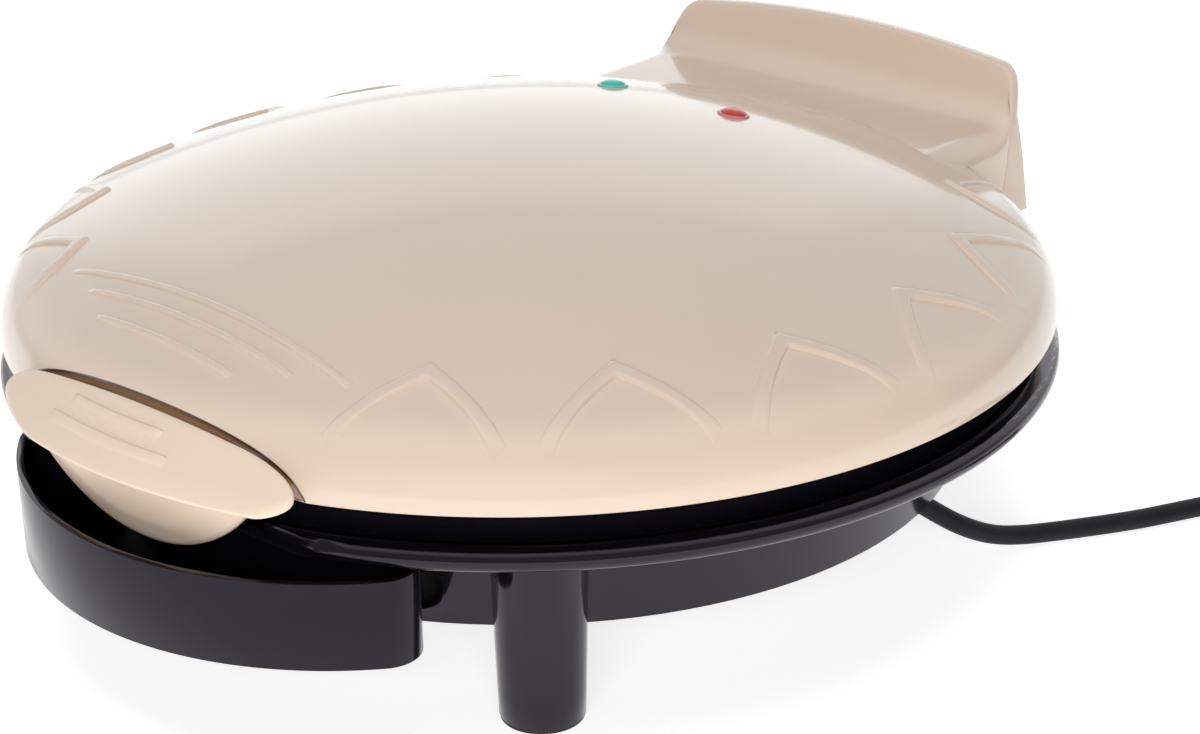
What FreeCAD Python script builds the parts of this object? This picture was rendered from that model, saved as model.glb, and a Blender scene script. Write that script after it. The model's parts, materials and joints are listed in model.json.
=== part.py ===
import FreeCAD, Part
import os
from math import asin, atan2, cos, degrees, hypot, pi, radians, sin, sqrt, tan

# Waffle cone maker: a round two-plate contact cooker with a domed lid that
# folds back on a rear hinge, a front latch, a slide-out drip tray and a mains
# lead. Millimetres, +Z up. The origin is on the table below the middle of the
# plates, the latch and tray face -Y and the tail of the lid faces +Y.

V = FreeCAD.Vector
UP = V(0, 0, 1)
RIGHT = V(1, 0, 0)

# Clearances
CLEAR = 1.1
SLIDING = 0.3
RUNNING = 0.05
SEATED = 0.1

# Plates and heaters
PLATE_RADIUS = 152.0
PARTING_Z = 67.0
PLATE_GAP = 0.5
PLATE_RIM = 2.15
PLATE_RIM_WIDTH = 15.0
BAKING_DEPTH = 2.2
PLATE_SKIN = 4.0
GRID_PITCH = 18.0
GRID_WIDTH = 2.6
GRID_HEIGHT = 1.1
ELEMENT_INSET = 57.0
ELEMENT_TUBE = 3.5
ELEMENT_BED = 4.5
BED_HALF = 8.0
ELEMENT_SWEEP = 330.0
ELEMENT_GAP = 150.0
TERMINAL_RADIUS = 2.0
TERMINAL_LENGTH = 11.0
POST_INSET = 32.0
POST_RADIUS = 6.0
POST_COUNT = 4
SHEET = 1.0

# Black ring in the lid's mouth
RING_BAND = 12.3
RING_DROP = 0.2
RING_WALL = 3.0
RING_LEDGE = 1.0
RING_FLANGE = 13.0
REFLECTOR_RISE = 7.7
REFLECTOR_FLANGE = 9.5
REFLECTOR_CONE = 8.0
BOSS_RADIUS = 4.0
BOSS_ANGLES = (-150, -90, -35, 35, 90, 150)

# Lid
LID_OVERHANG = 8.2
LID_LIFT = 11.3
LID_RISE = 53.1
LID_SHOULDER = 24.1
LID_WALL = 3.0

# Raised ornament on the lid
RIDGE_HEIGHT = 1.2
CHEVRON_WIDTH = 6.0
CHEVRONS_PER_SIDE = 6
CHEVRON_SPREAD = 8.4
CHEVRON_FOOT_INSET = 6.5
RIGHT_FIRST = 30.6
RIGHT_PITCH = 21.1
RIGHT_TIP_INSET = 32.0
LEFT_FIRST = 38.4
LEFT_PITCH = 19.2
LEFT_TIP_INSET = 27.5
RIB_WIDTH = 2.6
RIB_HEIGHT = 0.8
RIB_BEND = 900.0
RIB_TURN = -3.8
RIBS = ((33.8, 65.7), (25.8, 48.0), (16.3, 32.0))

# Tail: a housing behind the dome with an upright fin
TAIL_BASE_HALF = 85.0
SHELF_HALF = 81.0
SHELF_RISE = 27.9
SHELF_ROUND = 14.0
FIN_SETBACK = 6.0
FIN_LEAN = 0.448
FIN_THICKNESS = 5.0
FIN_CORNER_HALF = 76.0
FIN_CORNER_RISE = 18.0
FIN_ARCH = 5.1
FIN_CORNER_ROUND = 6.0

# Flat face at the front of the lid, behind the latch
FACE_BEND = 530.0
FACE_INSET = 7.7

# Latch
LIP_REACH = 11.5
LIP_RISE = 1.7
BILL_RUN = 17.5
BILL_FALL = 14.0
BILL_THICKNESS = 3.0
BILL_HALF = 59.0
BILL_CORNER = 10.0
BILL_GAP = 2.0
TONGUE_REACH = 6.7
TONGUE_THICKNESS = 3.0
TONGUE_ROUND = 58.3
TONGUE_DROP = 26.0
BARB_HALF = 24.0
BARB_REACH = 3.5
BARB_THICKNESS = 4.0
LATCH_PIN_RADIUS = 2.0
LATCH_PIN_INSET = 8.2
LATCH_PIN_RISE = 8.7
LATCH_EYE_RADIUS = 4.0
LUG_X = 30.0
LUG_THICKNESS = 6.0
LUG_HEIGHT = 6.0
LUG_PLAY = 2.0
LUG_TAIL = 5.8
PEG_RADIUS = 0.9
PEG_LENGTH = 5.0
CARRIER_THICKNESS = 5.0
SPRING_WIRE = 0.9
SPRING_TURNS = 5
SPRING_PITCH = 1.6

# Lamps
LAMP_X = 26.7
LAMP_Y = 74.2
LENS_RADIUS = 5.6
LENS_CROWN = 2.2
LENS_FLANGE = 1.8
LENS_FLANGE_THICKNESS = 1.5
LAMP_RADIUS = 3.0
LAMP_LENGTH = 12.0
HOLDER_WALL = 1.6

# Base
BASE_WALL = 3.0
SKIRT_SETBACK = 9.4
SKIRT_DEPTH = 32.4
RIM_OVERHANG = 1.3
RIM_STEP = 0.7
RIM_HEIGHT = 6.4
RIM_ROUND = 2.6
LIP_WIDTH = 6.3
SPOUT_INSET = 12.3
COLUMN_RADIUS = 6.0
COLUMN_ANGLES = (60, 120, 180, 240, 300)
REFLECTOR_DROP = 12.3
COVER_RECESS = 1.1
COVER_THICKNESS = 2.5
FOOT_OFFSET = 0.4
FRONT_FOOT_ANGLE = 42.6
REAR_FOOT_ANGLE = 160.0
FOOT_TOP_RADIUS = 14.5
FOOT_END_RADIUS = 12.8
FOOT_WALL = 3.0
PAD_THICKNESS = 1.0
PAD_PLUG = 7.0

# Hinge
HINGE_REACH = 7.2
HINGE_DROP = 0.5
HINGE_PIN_RADIUS = 3.0
EYE_RADIUS = 8.0
ARM_X = 52.0
ARM_WIDTH = 11.0
EAR_WIDTH = 6.0
PIN_HEAD = 1.5
TAIL_TO_HINGE = 5.0
BRACKET_THICKNESS = 2.5
BRACKET_SCREWS = ((66.0, 15.5), (78.0, 20.5))

# Drip tray
TRAY_REACH = 17.2
TRAY_BEND = 105.0
TRAY_ASIDE = 6.0
TRAY_BACK_HALF = 63.6
TRAY_END_TURN = 46.0
TRAY_CORNER = 11.0
TRAY_TOP_GAP = 1.8
TRAY_WALL = 2.2
TRAY_TONGUE_GAP = 3.3
TRAY_BACK_GAP = 1.8
TONGUE_PLATE_HALF = 60.0
TONGUE_PLATE_LENGTH = 64.4
TONGUE_PLATE_LIFT = 1.7
TONGUE_PLATE_THICKNESS = 3.0
SLOT_HALF = 74.0
SLOT_DROP = 0.9
SLOT_HEIGHT = 13.2
RUNNER_WIDTH = 4.0
RUNNER_LIP = 5.5
RUNNER_LENGTH = 55.0

# Electrical pieces in the base
THERMOSTAT_RADIUS = 10.0
THERMOSTAT_HEIGHT = 13.0
THERMOSTAT_ROOM = 3.0
FUSE_RADIUS = 2.5
FUSE_LENGTH = 14.0
FUSE_X = 45.0
BLOCK_SIZE = (36.0, 16.0, 13.0)
BLOCK_PLACE = (58.0, 52.0)

# Screws
SCREW_SHANK = 1.8
SCREW_HEAD = 3.4
SCREW_HEAD_HEIGHT = 2.0
SCREW_REACH = 8.0

# Mains lead, laid along points chosen by hand, then coiled
CORD_DIAMETER = 6.5
GLAND_RADIUS = 7.0
GLAND_BODY = 15.0
GLAND_TAPER = 12.0
GLAND_END_RADIUS = 4.5
OUTLET_HALF = 9.5
CORD_ROUTE = (
    V(129.0, 37.0, 25.5),
    V(134.3, 45.0, 18.1),
    V(139.6, 53.6, 11.6),
    V(144.2, 63.4, 6.6),
    V(148.9, 74.0, 4.1),
    V(154.6, 84.0, 3.3),
    V(160.3, 92.4, 3.25),
    V(166.4, 101.2, 3.3),
    V(172.2, 110.6, 3.25),
    V(177.3, 120.2, 3.3),
    V(183.0, 130.4, 3.5),
    V(189.6, 141.0, 4.0),
    V(195.9, 152.2, 4.35),
)
COIL_RADIUS = 36.0
COIL_STEP = 7.2
COIL_LAYER = 7.1
COIL_LIFT = 1.1
COIL_RUN_IN = 13.0
TURNS_IN = 2.0
TURNS_OUT = 1.75
LEAD_STEPS = ((14.0, 0.0, 0.0), (28.0, 2.4, 0.5), (42.0, 6.6, 1.0), (56.0, 12.4, 1.0))
TIE_ANGLE = -75.0
TIE_WIDTH = 6.0
TIE_THICKNESS = 0.8
PLUG_LENGTH = 38.0
PLUG_NECK_RADIUS = 6.0
PLUG_RADIUS = 13.0
PLUG_FACE = 6.0
PLUG_PIN_RADIUS = 2.4
PLUG_PIN_LENGTH = 19.0
PLUG_PIN_SPACING = 9.5

# Sizes worked out from the ones above
RING_RADIUS = PLATE_RADIUS + RING_BAND
LID_RADIUS = RING_RADIUS + LID_OVERHANG
SHOULDER_R = LID_RADIUS - LID_SHOULDER
RIM_RADIUS = LID_RADIUS + RIM_OVERHANG
SKIRT_RADIUS = PLATE_RADIUS - SKIRT_SETBACK
SKIRT_INNER = SKIRT_RADIUS - BASE_WALL
PLATE_BODY_R = SKIRT_INNER - CLEAR
BAKING_RADIUS = PLATE_RADIUS - PLATE_RIM_WIDTH
ELEMENT_RING = PLATE_RADIUS - ELEMENT_INSET
POST_RING = PLATE_RADIUS - POST_INSET
BOSS_RING = RING_RADIUS - RING_WALL - SCREW_HEAD - 3 * SLIDING
REFLECTOR_FLANGE_R = BOSS_RING - BOSS_RADIUS - 2 * SLIDING
REFLECTOR_SCREW_R = REFLECTOR_FLANGE_R - SCREW_HEAD - 2 * SLIDING
RING_FLANGE_R = BOSS_RING - RING_FLANGE
FOOT_RING = SKIRT_RADIUS + FOOT_OFFSET
CHEVRON_FOOT_R = LID_RADIUS - CHEVRON_FOOT_INSET

FACE_Y = LID_RADIUS - FACE_INSET
LIP_RADIUS = LID_RADIUS + LIP_REACH
BILL_TOP_R = LIP_RADIUS - BILL_RUN
TONGUE_Y = FACE_Y + TONGUE_REACH
LATCH_PIN_Y = FACE_Y - LATCH_PIN_INSET
SPOUT_Y = RIM_RADIUS - SPOUT_INSET
TRAY_CENTRE_Y = RIM_RADIUS + TRAY_REACH - TRAY_BEND
TONGUE_PLATE_REACH = SKIRT_RADIUS + TRAY_BACK_GAP - TONGUE_PLATE_LENGTH
HINGE_Y = RIM_RADIUS + HINGE_REACH
TAIL_REAR_Y = HINGE_Y - TAIL_TO_HINGE
TAIL_FRONT_Y = SHOULDER_R - LID_SHOULDER - SHELF_ROUND
FIN_FOOT_Y = TAIL_REAR_Y - FIN_SETBACK

RIM_FACE_Z = PARTING_Z - PLATE_GAP / 2
FACE_Z = RIM_FACE_Z - BAKING_DEPTH
PLATE_BACK_Z = FACE_Z - PLATE_SKIN
BED_Z = PLATE_BACK_Z - ELEMENT_BED
HINGE_Z = PARTING_Z - HINGE_DROP
RIM_TOP_Z = PARTING_Z + RIM_STEP
RIM_BOTTOM_Z = RIM_TOP_Z - RIM_HEIGHT
LEDGE_Z = RIM_BOTTOM_Z + BASE_WALL
SKIRT_BOTTOM_Z = RIM_BOTTOM_Z - SKIRT_DEPTH
LOWER_REFLECTOR_Z = RIM_BOTTOM_Z - REFLECTOR_DROP
COVER_Z = SKIRT_BOTTOM_Z + COVER_RECESS
COVER_TOP = COVER_Z + COVER_THICKNESS
LID_EDGE_Z = PARTING_Z + LID_LIFT
LID_APEX_Z = LID_EDGE_Z + LID_RISE
SHELF_Z = LID_EDGE_Z + SHELF_RISE
FIN_CORNER_Z = SHELF_Z + FIN_CORNER_RISE
FIN_MIDDLE_Z = FIN_CORNER_Z + FIN_ARCH
BRACKET_Z = LID_EDGE_Z - BRACKET_THICKNESS
RING_BOTTOM_Z = PARTING_Z - RING_DROP
RING_SEAT_Z = LID_EDGE_Z + RING_LEDGE
RING_TOP = RING_SEAT_Z + RING_WALL
UPPER_REFLECTOR_Z = RING_TOP + REFLECTOR_RISE
LIP_Z = LID_EDGE_Z + LIP_RISE
BILL_TOP_Z = LIP_Z + BILL_FALL
TONGUE_TIP_Z = LID_EDGE_Z - TONGUE_DROP
LATCH_PIN_Z = LID_EDGE_Z + LATCH_PIN_RISE
BARB_TOP_Z = RIM_BOTTOM_Z - CLEAR
TRAY_BOTTOM_Z = COVER_TOP
TRAY_TOP_Z = RIM_BOTTOM_Z - TRAY_TOP_GAP
TRAY_BACK_TOP_Z = TONGUE_TIP_Z - TRAY_TONGUE_GAP
TONGUE_PLATE_Z = COVER_TOP + TONGUE_PLATE_LIFT
SLOT_Z = TONGUE_PLATE_Z - SLOT_DROP

CROWN_RADIUS = (SHOULDER_R**2 + LID_RISE**2 - LID_SHOULDER**2) / (2 * (LID_RISE - LID_SHOULDER))
CROWN_Z = LID_APEX_Z - CROWN_RADIUS
CARRIER_X = LUG_X + LUG_THICKNESS / 2 + SLIDING + CARRIER_THICKNESS / 2
SPRING_OUTER = LATCH_PIN_RADIUS + SLIDING + SPRING_WIRE
CORD_RADIUS = CORD_DIAMETER / 2
ALL_ROUND = 1000.0

nodes = {}


def around(radius, angle, z=0.0):
    """Point at an angle from the front, counted towards the right."""
    a = radians(angle)
    return V(radius * sin(a), -radius * cos(a), z)


def turned(points):
    """Solid of revolution about Z of a closed outline of (radius, height) points."""
    corners = [V(r, 0, z) for r, z in points]
    return Part.Face(Part.makePolygon(corners + corners[:1])).revolve(V(), UP, 360)


def rod(radius, start, end):
    return Part.makeCylinder(radius, (end - start).Length, start, end - start)


def rod_x(radius, x0, x1, y, z):
    return rod(radius, V(x0, y, z), V(x1, y, z))


def disc(radius, z0, z1, x=0.0, y=0.0):
    return rod(radius, V(x, y, z0), V(x, y, z1))


def box(x0, x1, y0, y1, z0, z1):
    return Part.makeBox(x1 - x0, y1 - y0, z1 - z0, V(x0, y0, z0))


def extruded(points, direction):
    """Prism of a closed outline of points along a direction."""
    return Part.Face(Part.makePolygon(points + points[:1])).extrude(direction)


def joined(shapes):
    """One solid of touching shapes, with leftover seams removed."""
    return shapes[0].fuse(shapes[1:]).removeSplitter()


def group(shapes):
    return Part.makeCompound(shapes)


def both_sides(shape):
    return [shape, shape.mirror(V(), RIGHT)]


def along(shape, point, direction):
    """Shape built up +Z at the origin, set at a point along a direction."""
    placed = shape.copy()
    placed.Placement = FreeCAD.Placement(point, FreeCAD.Rotation(UP, direction))
    return placed


def screw(seat, direction):
    """Pan-head screw whose head bears on the seat, shank along direction."""
    head = rod(SCREW_HEAD, seat, seat - direction * SCREW_HEAD_HEIGHT)
    return head.fuse(rod(SCREW_SHANK, seat, seat + direction * SCREW_REACH)).removeSplitter()


def screw_hole(seat, direction):
    return rod(SCREW_SHANK + SEATED, seat - direction, seat + direction * (SCREW_REACH + CLEAR))


# Lid shell


def dome(inset, skirt=0.0):
    """Solid under the lid's dome, drawn in all over, with a straight skirt below its edge."""
    lean = atan2(LID_EDGE_Z - CROWN_Z, SHOULDER_R)

    def on_shoulder(angle):
        reach = LID_SHOULDER - inset
        return V(SHOULDER_R + reach * cos(angle), 0, LID_EDGE_Z + reach * sin(angle))

    def on_crown(angle):
        reach = CROWN_RADIUS - inset
        return V(reach * cos(angle), 0, CROWN_Z + reach * sin(angle))

    edge = on_shoulder(0)
    foot = V(edge.x, 0, LID_EDGE_Z - skirt)
    apex = V(0, 0, LID_APEX_Z - inset)
    outline = [Part.LineSegment(V(0, 0, foot.z), foot).toShape()]
    if skirt:
        outline.append(Part.LineSegment(foot, edge).toShape())
    outline += [
        Part.Arc(edge, on_shoulder(lean / 2), on_shoulder(lean)).toShape(),
        Part.Arc(on_crown(lean), on_crown((lean + pi / 2) / 2), apex).toShape(),
        Part.LineSegment(apex, V(0, 0, foot.z)).toShape(),
    ]
    return Part.Face(Part.Wire(outline)).revolve(V(), UP, 360)


def tail_housing(inset, skirt=0.0):
    """Housing behind the dome: sloping sides under a level shelf."""
    slope = (TAIL_BASE_HALF - SHELF_HALF) / (SHELF_Z - LID_EDGE_Z)
    top = SHELF_Z - inset
    bottom = LID_EDGE_Z - skirt

    def half(z):
        return TAIL_BASE_HALF - inset - slope * (z - LID_EDGE_Z)

    corners = [
        V(-half(bottom), TAIL_FRONT_Y, bottom),
        V(half(bottom), TAIL_FRONT_Y, bottom),
        V(half(top), TAIL_FRONT_Y, top),
        V(-half(top), TAIL_FRONT_Y, top),
    ]
    block = extruded(corners, V(0, TAIL_REAR_Y - inset - TAIL_FRONT_Y, 0))
    shoulders = [e for e in block.Edges if is_along_y(e) and e.Vertexes[0].Z > SHELF_Z - inset - 1]
    return block.makeFillet(SHELF_ROUND - inset, shoulders)


def is_along_y(edge):
    a, b = edge.Vertexes[0].Point, edge.Vertexes[-1].Point
    return abs(b.y - a.y) > 1 and hypot(b.x - a.x, b.z - a.z) < 1e-6


def is_outside(edge, radius):
    point = edge.Vertexes[0].Point
    return hypot(point.x, point.y) > radius


def is_upright(edge):
    a, b = edge.Vertexes[0].Point, edge.Vertexes[-1].Point
    return abs(b.z - a.z) > 1 and hypot(b.x - a.x, b.y - a.y) < 1e-6


def fin():
    """Upright panel that leans back from the shelf, with a gently arched top."""
    foot_z = SHELF_Z - SHELF_ROUND
    slope = (SHELF_HALF - FIN_CORNER_HALF) / (FIN_CORNER_Z - SHELF_Z)
    foot_half = SHELF_HALF + slope * SHELF_ROUND
    left = V(-FIN_CORNER_HALF, 0, FIN_CORNER_Z)
    right = V(FIN_CORNER_HALF, 0, FIN_CORNER_Z)
    outline = Part.Wire([
        Part.LineSegment(V(-foot_half, 0, foot_z), left).toShape(),
        Part.Arc(left, V(0, 0, FIN_MIDDLE_Z), right).toShape(),
        Part.LineSegment(right, V(foot_half, 0, foot_z)).toShape(),
        Part.LineSegment(V(foot_half, 0, foot_z), V(-foot_half, 0, foot_z)).toShape(),
    ])
    panel = Part.Face(outline).extrude(V(0, ALL_ROUND, 0))
    corners = [e for e in panel.Edges if is_along_y(e) and e.Vertexes[0].Z > SHELF_Z]
    panel = panel.makeFillet(FIN_CORNER_ROUND, corners)

    def front_y(z):
        return FIN_FOOT_Y + FIN_LEAN * (z - SHELF_Z)

    top_z = FIN_MIDDLE_Z + 1
    slab = extruded(
        [
            V(-ALL_ROUND / 2, front_y(foot_z), foot_z),
            V(-ALL_ROUND / 2, front_y(foot_z) + FIN_THICKNESS, foot_z),
            V(-ALL_ROUND / 2, front_y(top_z) + FIN_THICKNESS, top_z),
            V(-ALL_ROUND / 2, front_y(top_z), top_z),
        ],
        RIGHT * ALL_ROUND,
    )
    return panel.common(slab)


def front_cylinder(gap, z0=0.0):
    """Big upright cylinder whose front is the face behind the latch, grown by gap."""
    centre_y = FACE_BEND - FACE_Y
    return disc(FACE_BEND + gap, z0, 2 * LID_APEX_Z, 0, centre_y)


def chevron(angle, tip_inset):
    """Inverted V seen from above: two arms that run out from a tip near the crown."""
    arms = []
    tip = around(LID_RADIUS - tip_inset, angle)
    for side in (-1, 1):
        foot = around(CHEVRON_FOOT_R, angle + side * CHEVRON_SPREAD)
        run = (foot - tip).normalize()
        width = run.cross(UP) * (CHEVRON_WIDTH / 2)
        start = tip - run * (CHEVRON_WIDTH / 2)
        corners = [start + width, foot + width, foot - width, start - width]
        arms.append(extruded(corners, UP * 2 * LID_APEX_Z))
    return arms[0].fuse(arms[1])


def front_rib(y, half):
    """Slim rib above the latch, bent towards the front at both ends and turned a little to the left."""
    centre = V(0, -y - RIB_BEND, 0)
    ring = disc(RIB_BEND + RIB_WIDTH / 2, 0, 2 * LID_APEX_Z, 0, centre.y)
    ring = ring.cut(disc(RIB_BEND - RIB_WIDTH / 2, 0, 2 * LID_APEX_Z, 0, centre.y))
    rib = ring.common(box(-half, half, -y - RIB_BEND, 0, 0, 2 * LID_APEX_Z))
    rib.rotate(V(), UP, RIB_TURN)
    return rib


def lamp_places():
    """Where the two lamps sit on the crown, and the crown's outward normal there."""
    places = []
    for side in (-1, 1):
        flat = LAMP_X**2 + LAMP_Y**2
        point = V(side * LAMP_X, LAMP_Y, CROWN_Z + sqrt(CROWN_RADIUS**2 - flat))
        normal = (point - V(0, 0, CROWN_Z)).normalize()
        places.append((point, normal))
    return places


def pin_carriers():
    """Two blocks behind the front face that carry the latch pin."""
    block = box(
        CARRIER_X - CARRIER_THICKNESS / 2,
        CARRIER_X + CARRIER_THICKNESS / 2,
        -FACE_Y,
        -LATCH_PIN_Y + LATCH_EYE_RADIUS,
        LATCH_PIN_Z - LATCH_EYE_RADIUS,
        LATCH_PIN_Z + LATCH_EYE_RADIUS,
    )
    return [b.common(front_cylinder(-LID_WALL / 2)) for b in both_sides(block)]


def bracket_places():
    """Where the screws of the hinge bracket stand on the right-hand side."""
    return [(x, HINGE_Y - back) for x, back in BRACKET_SCREWS]


def lid_shell():
    solid = joined([dome(0), tail_housing(0), fin()])
    solid = solid.common(front_cylinder(0))
    ridges = []
    for i in range(CHEVRONS_PER_SIDE):
        ridges.append(chevron(RIGHT_FIRST + i * RIGHT_PITCH, RIGHT_TIP_INSET))
        ridges.append(chevron(-LEFT_FIRST - i * LEFT_PITCH, LEFT_TIP_INSET))
    ridges = [r.common(dome(-RIDGE_HEIGHT)) for r in ridges]
    ridges += [front_rib(FACE_Y - back, half).common(dome(-RIB_HEIGHT)) for back, half in RIBS]
    solid = joined([solid] + ridges)
    hollow = joined([dome(LID_WALL, LID_WALL), tail_housing(LID_WALL, LID_WALL)])
    shell = solid.cut(hollow.common(front_cylinder(-LID_WALL)))
    bosses = [disc(BOSS_RADIUS, RING_TOP, LID_APEX_Z, *around(BOSS_RING, a)[:2]) for a in BOSS_ANGLES]
    inner_limit = dome(LID_WALL / 2, LID_WALL)
    bosses = [b.common(inner_limit) for b in bosses]
    for x, y in bracket_places():
        post = disc(BOSS_RADIUS, LID_EDGE_Z, SHELF_Z - LID_WALL / 2, x, y)
        bosses += [p.common(tail_housing(LID_WALL / 2)) for p in both_sides(post)]
    shell = joined([shell] + bosses + pin_carriers())
    cuts = [screw_hole(around(BOSS_RING, a, RING_SEAT_Z), UP) for a in BOSS_ANGLES]
    for x, y in bracket_places():
        cuts += both_sides(screw_hole(V(x, y, BRACKET_Z), UP))
    for point, normal in lamp_places():
        cuts.append(rod(LENS_RADIUS + SEATED, point - normal * 2 * LID_WALL, point + normal * LID_WALL))
    slot = LUG_THICKNESS / 2 + SLIDING
    rise = LUG_HEIGHT / 2 + LUG_PLAY
    low, high = LATCH_PIN_Z - rise, LATCH_PIN_Z + rise
    opening = box(LUG_X - slot, LUG_X + slot, -FACE_Y - CLEAR, -LATCH_PIN_Y, low, high)
    cuts += both_sides(opening)
    reach = CARRIER_X + CARRIER_THICKNESS
    cuts.append(rod_x(LATCH_PIN_RADIUS + RUNNING, -reach, reach, -LATCH_PIN_Y, LATCH_PIN_Z))
    return shell.cut(cuts)


nodes["lid_shell"] = lid_shell()


# Latch


def bill():
    """Sloping plate of the latch that stands out past the lid's edge."""
    fall = (BILL_TOP_Z - LIP_Z) / (LIP_RADIUS - BILL_TOP_R)
    inner_r = FACE_Y - LID_WALL
    inner_z = BILL_TOP_Z + fall * (BILL_TOP_R - inner_r)
    plate = turned([
        (inner_r, inner_z),
        (inner_r, inner_z - BILL_THICKNESS),
        (LIP_RADIUS, LIP_Z - BILL_THICKNESS),
        (LIP_RADIUS, LIP_Z),
    ])
    outline = disc(LIP_RADIUS, 0, LID_APEX_Z)
    outline = outline.common(box(-BILL_HALF, BILL_HALF, -ALL_ROUND, 0, 0, LID_APEX_Z))
    corners = [e for e in outline.Edges if is_upright(e) and e.Vertexes[0].Y < -FACE_Y]
    outline = outline.makeFillet(BILL_CORNER, corners)
    return plate.common(outline).cut(front_cylinder(BILL_GAP))


def under_bill():
    """Everything below the middle of the bill's thickness."""
    fall = (BILL_TOP_Z - LIP_Z) / (LIP_RADIUS - BILL_TOP_R)
    peak = LIP_Z + fall * LIP_RADIUS - BILL_THICKNESS / 2
    return turned([(0, 0), (LIP_RADIUS, 0), (LIP_RADIUS, LIP_Z - BILL_THICKNESS / 2), (0, peak)])


def spring_peg():
    """Depth and height of the peg that rests on the spring's moving leg."""
    y = -LATCH_PIN_Y + SPRING_OUTER + PEG_RADIUS + 2 * SLIDING
    z = LATCH_PIN_Z - SPRING_OUTER + SPRING_WIRE + PEG_RADIUS + SEATED
    return y, z


def latch_handle():
    front = -TONGUE_Y
    back = front + TONGUE_THICKNESS
    middle_z = TONGUE_TIP_Z + TONGUE_ROUND
    tongue = rod(TONGUE_ROUND, V(0, front, middle_z), V(0, back, middle_z))
    barb = box(
        -BARB_HALF,
        BARB_HALF,
        back - TONGUE_THICKNESS / 2,
        -SPOUT_Y + BARB_REACH,
        BARB_TOP_Z - BARB_THICKNESS,
        BARB_TOP_Z,
    )
    pieces = [bill(), tongue.common(under_bill()), barb]
    half = LUG_THICKNESS / 2
    for side in (-1, 1):
        x = side * LUG_X
        lug = box(
            x - half,
            x + half,
            back - TONGUE_THICKNESS / 2,
            -LATCH_PIN_Y + LUG_TAIL,
            LATCH_PIN_Z - LUG_HEIGHT / 2,
            LATCH_PIN_Z + LUG_HEIGHT / 2,
        )
        pieces.append(lug.common(under_bill()))
    peg_end = LUG_X - half
    pieces.append(rod_x(PEG_RADIUS, peg_end - PEG_LENGTH, peg_end, *spring_peg()))
    reach = CARRIER_X + CARRIER_THICKNESS
    bore = rod_x(LATCH_PIN_RADIUS + RUNNING, -reach, reach, -LATCH_PIN_Y, LATCH_PIN_Z)
    return joined(pieces).cut(bore)


nodes["latch_handle"] = latch_handle()

carrier_end = CARRIER_X + CARRIER_THICKNESS / 2
nodes["latch_pin"] = rod_x(LATCH_PIN_RADIUS, -carrier_end, carrier_end, -LATCH_PIN_Y, LATCH_PIN_Z)


# Tangent arcs and pipes for wound pieces


def arc_between(start, corner, end):
    """Arc tangent to start-corner and corner-end, which are equally long."""
    middle = (start + end) * 0.5
    half = (end - start).Length / 2
    rise = corner - middle
    if rise.Length < 1e-7:
        return Part.LineSegment(start, end).toShape()
    share = half / (half + (corner - start).Length)
    return Part.Arc(start, middle + rise * share, end).toShape()


def biarc(start, leaving, end, arriving):
    """Two tangent arcs from one point and direction to another."""
    across = end - start
    both = leaving + arriving
    a = 2 * (1 - leaving.dot(arriving))
    b = 2 * across.dot(both)
    c = across.dot(across)
    reach = c / b if a < 1e-9 else (sqrt(b * b + 4 * a * c) - b) / (2 * a)
    first = start + leaving * reach
    last = end - arriving * reach
    joint = (first + last) * 0.5
    return [arc_between(start, first, joint), arc_between(joint, last, end)]


def pipe(edges, radius):
    """Round tube along tangent edges."""
    start = edges[0].valueAt(edges[0].FirstParameter)
    heading = edges[0].tangentAt(edges[0].FirstParameter)
    section = Part.Wire(Part.makeCircle(radius, start, heading))
    tube = Part.Wire(edges).makePipeShell([section], True, False)
    length = sum(e.Length for e in edges)
    print("tube volume over section times length:", round(tube.Volume / (pi * radius**2 * length), 5))
    return tube


def least_gap(edges, diameter):
    """Smallest distance of a wound tube to itself, measured on points of its middle line."""
    points, station, travelled = [], [], 0.0
    for edge in edges:
        steps = max(2, int(edge.Length / (diameter / 3)))
        for point in edge.discretize(steps + 1)[:-1]:
            points.append(point)
            station.append(travelled)
            travelled += edge.Length / steps
    apart = [
        (p - q).Length
        for i, p in enumerate(points)
        for q, s in zip(points[:i], station[:i])
        if station[i] - s > 3 * diameter
    ]
    return min(apart) - diameter


def latch_spring():
    """Torsion spring on the latch pin: one leg on the lid, one under the lug's peg."""
    coil = SPRING_OUTER - SPRING_WIRE / 2
    quarter = SPRING_PITCH / 4
    count = 4 * SPRING_TURNS
    x0 = LUG_X - LUG_THICKNESS / 2 - PEG_LENGTH / 2 - count * quarter
    stations = []
    for i in range(count + 1):
        a = i * pi / 2
        place = V(x0 + i * quarter, -LATCH_PIN_Y + coil * sin(a), LATCH_PIN_Z - coil * cos(a))
        heading = V(quarter * 2 / pi, coil * cos(a), coil * sin(a)).normalize()
        stations.append((place, heading))
    edges = []
    first, heading = stations[0]
    to_wall = FACE_Y - LID_WALL - SPRING_WIRE - LATCH_PIN_Y
    edges.append(Part.LineSegment(first - heading * to_wall, first).toShape())
    for (p, t), (q, u) in zip(stations, stations[1:]):
        edges += biarc(p, t, q, u)
    last, heading = stations[-1]
    edges.append(Part.LineSegment(last, last + heading * LUG_TAIL).toShape())
    print("latch spring gap to itself:", round(least_gap(edges, SPRING_WIRE), 3))
    return pipe(edges, SPRING_WIRE / 2)


nodes["latch_spring"] = latch_spring()


# Lamps in the lid


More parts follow.
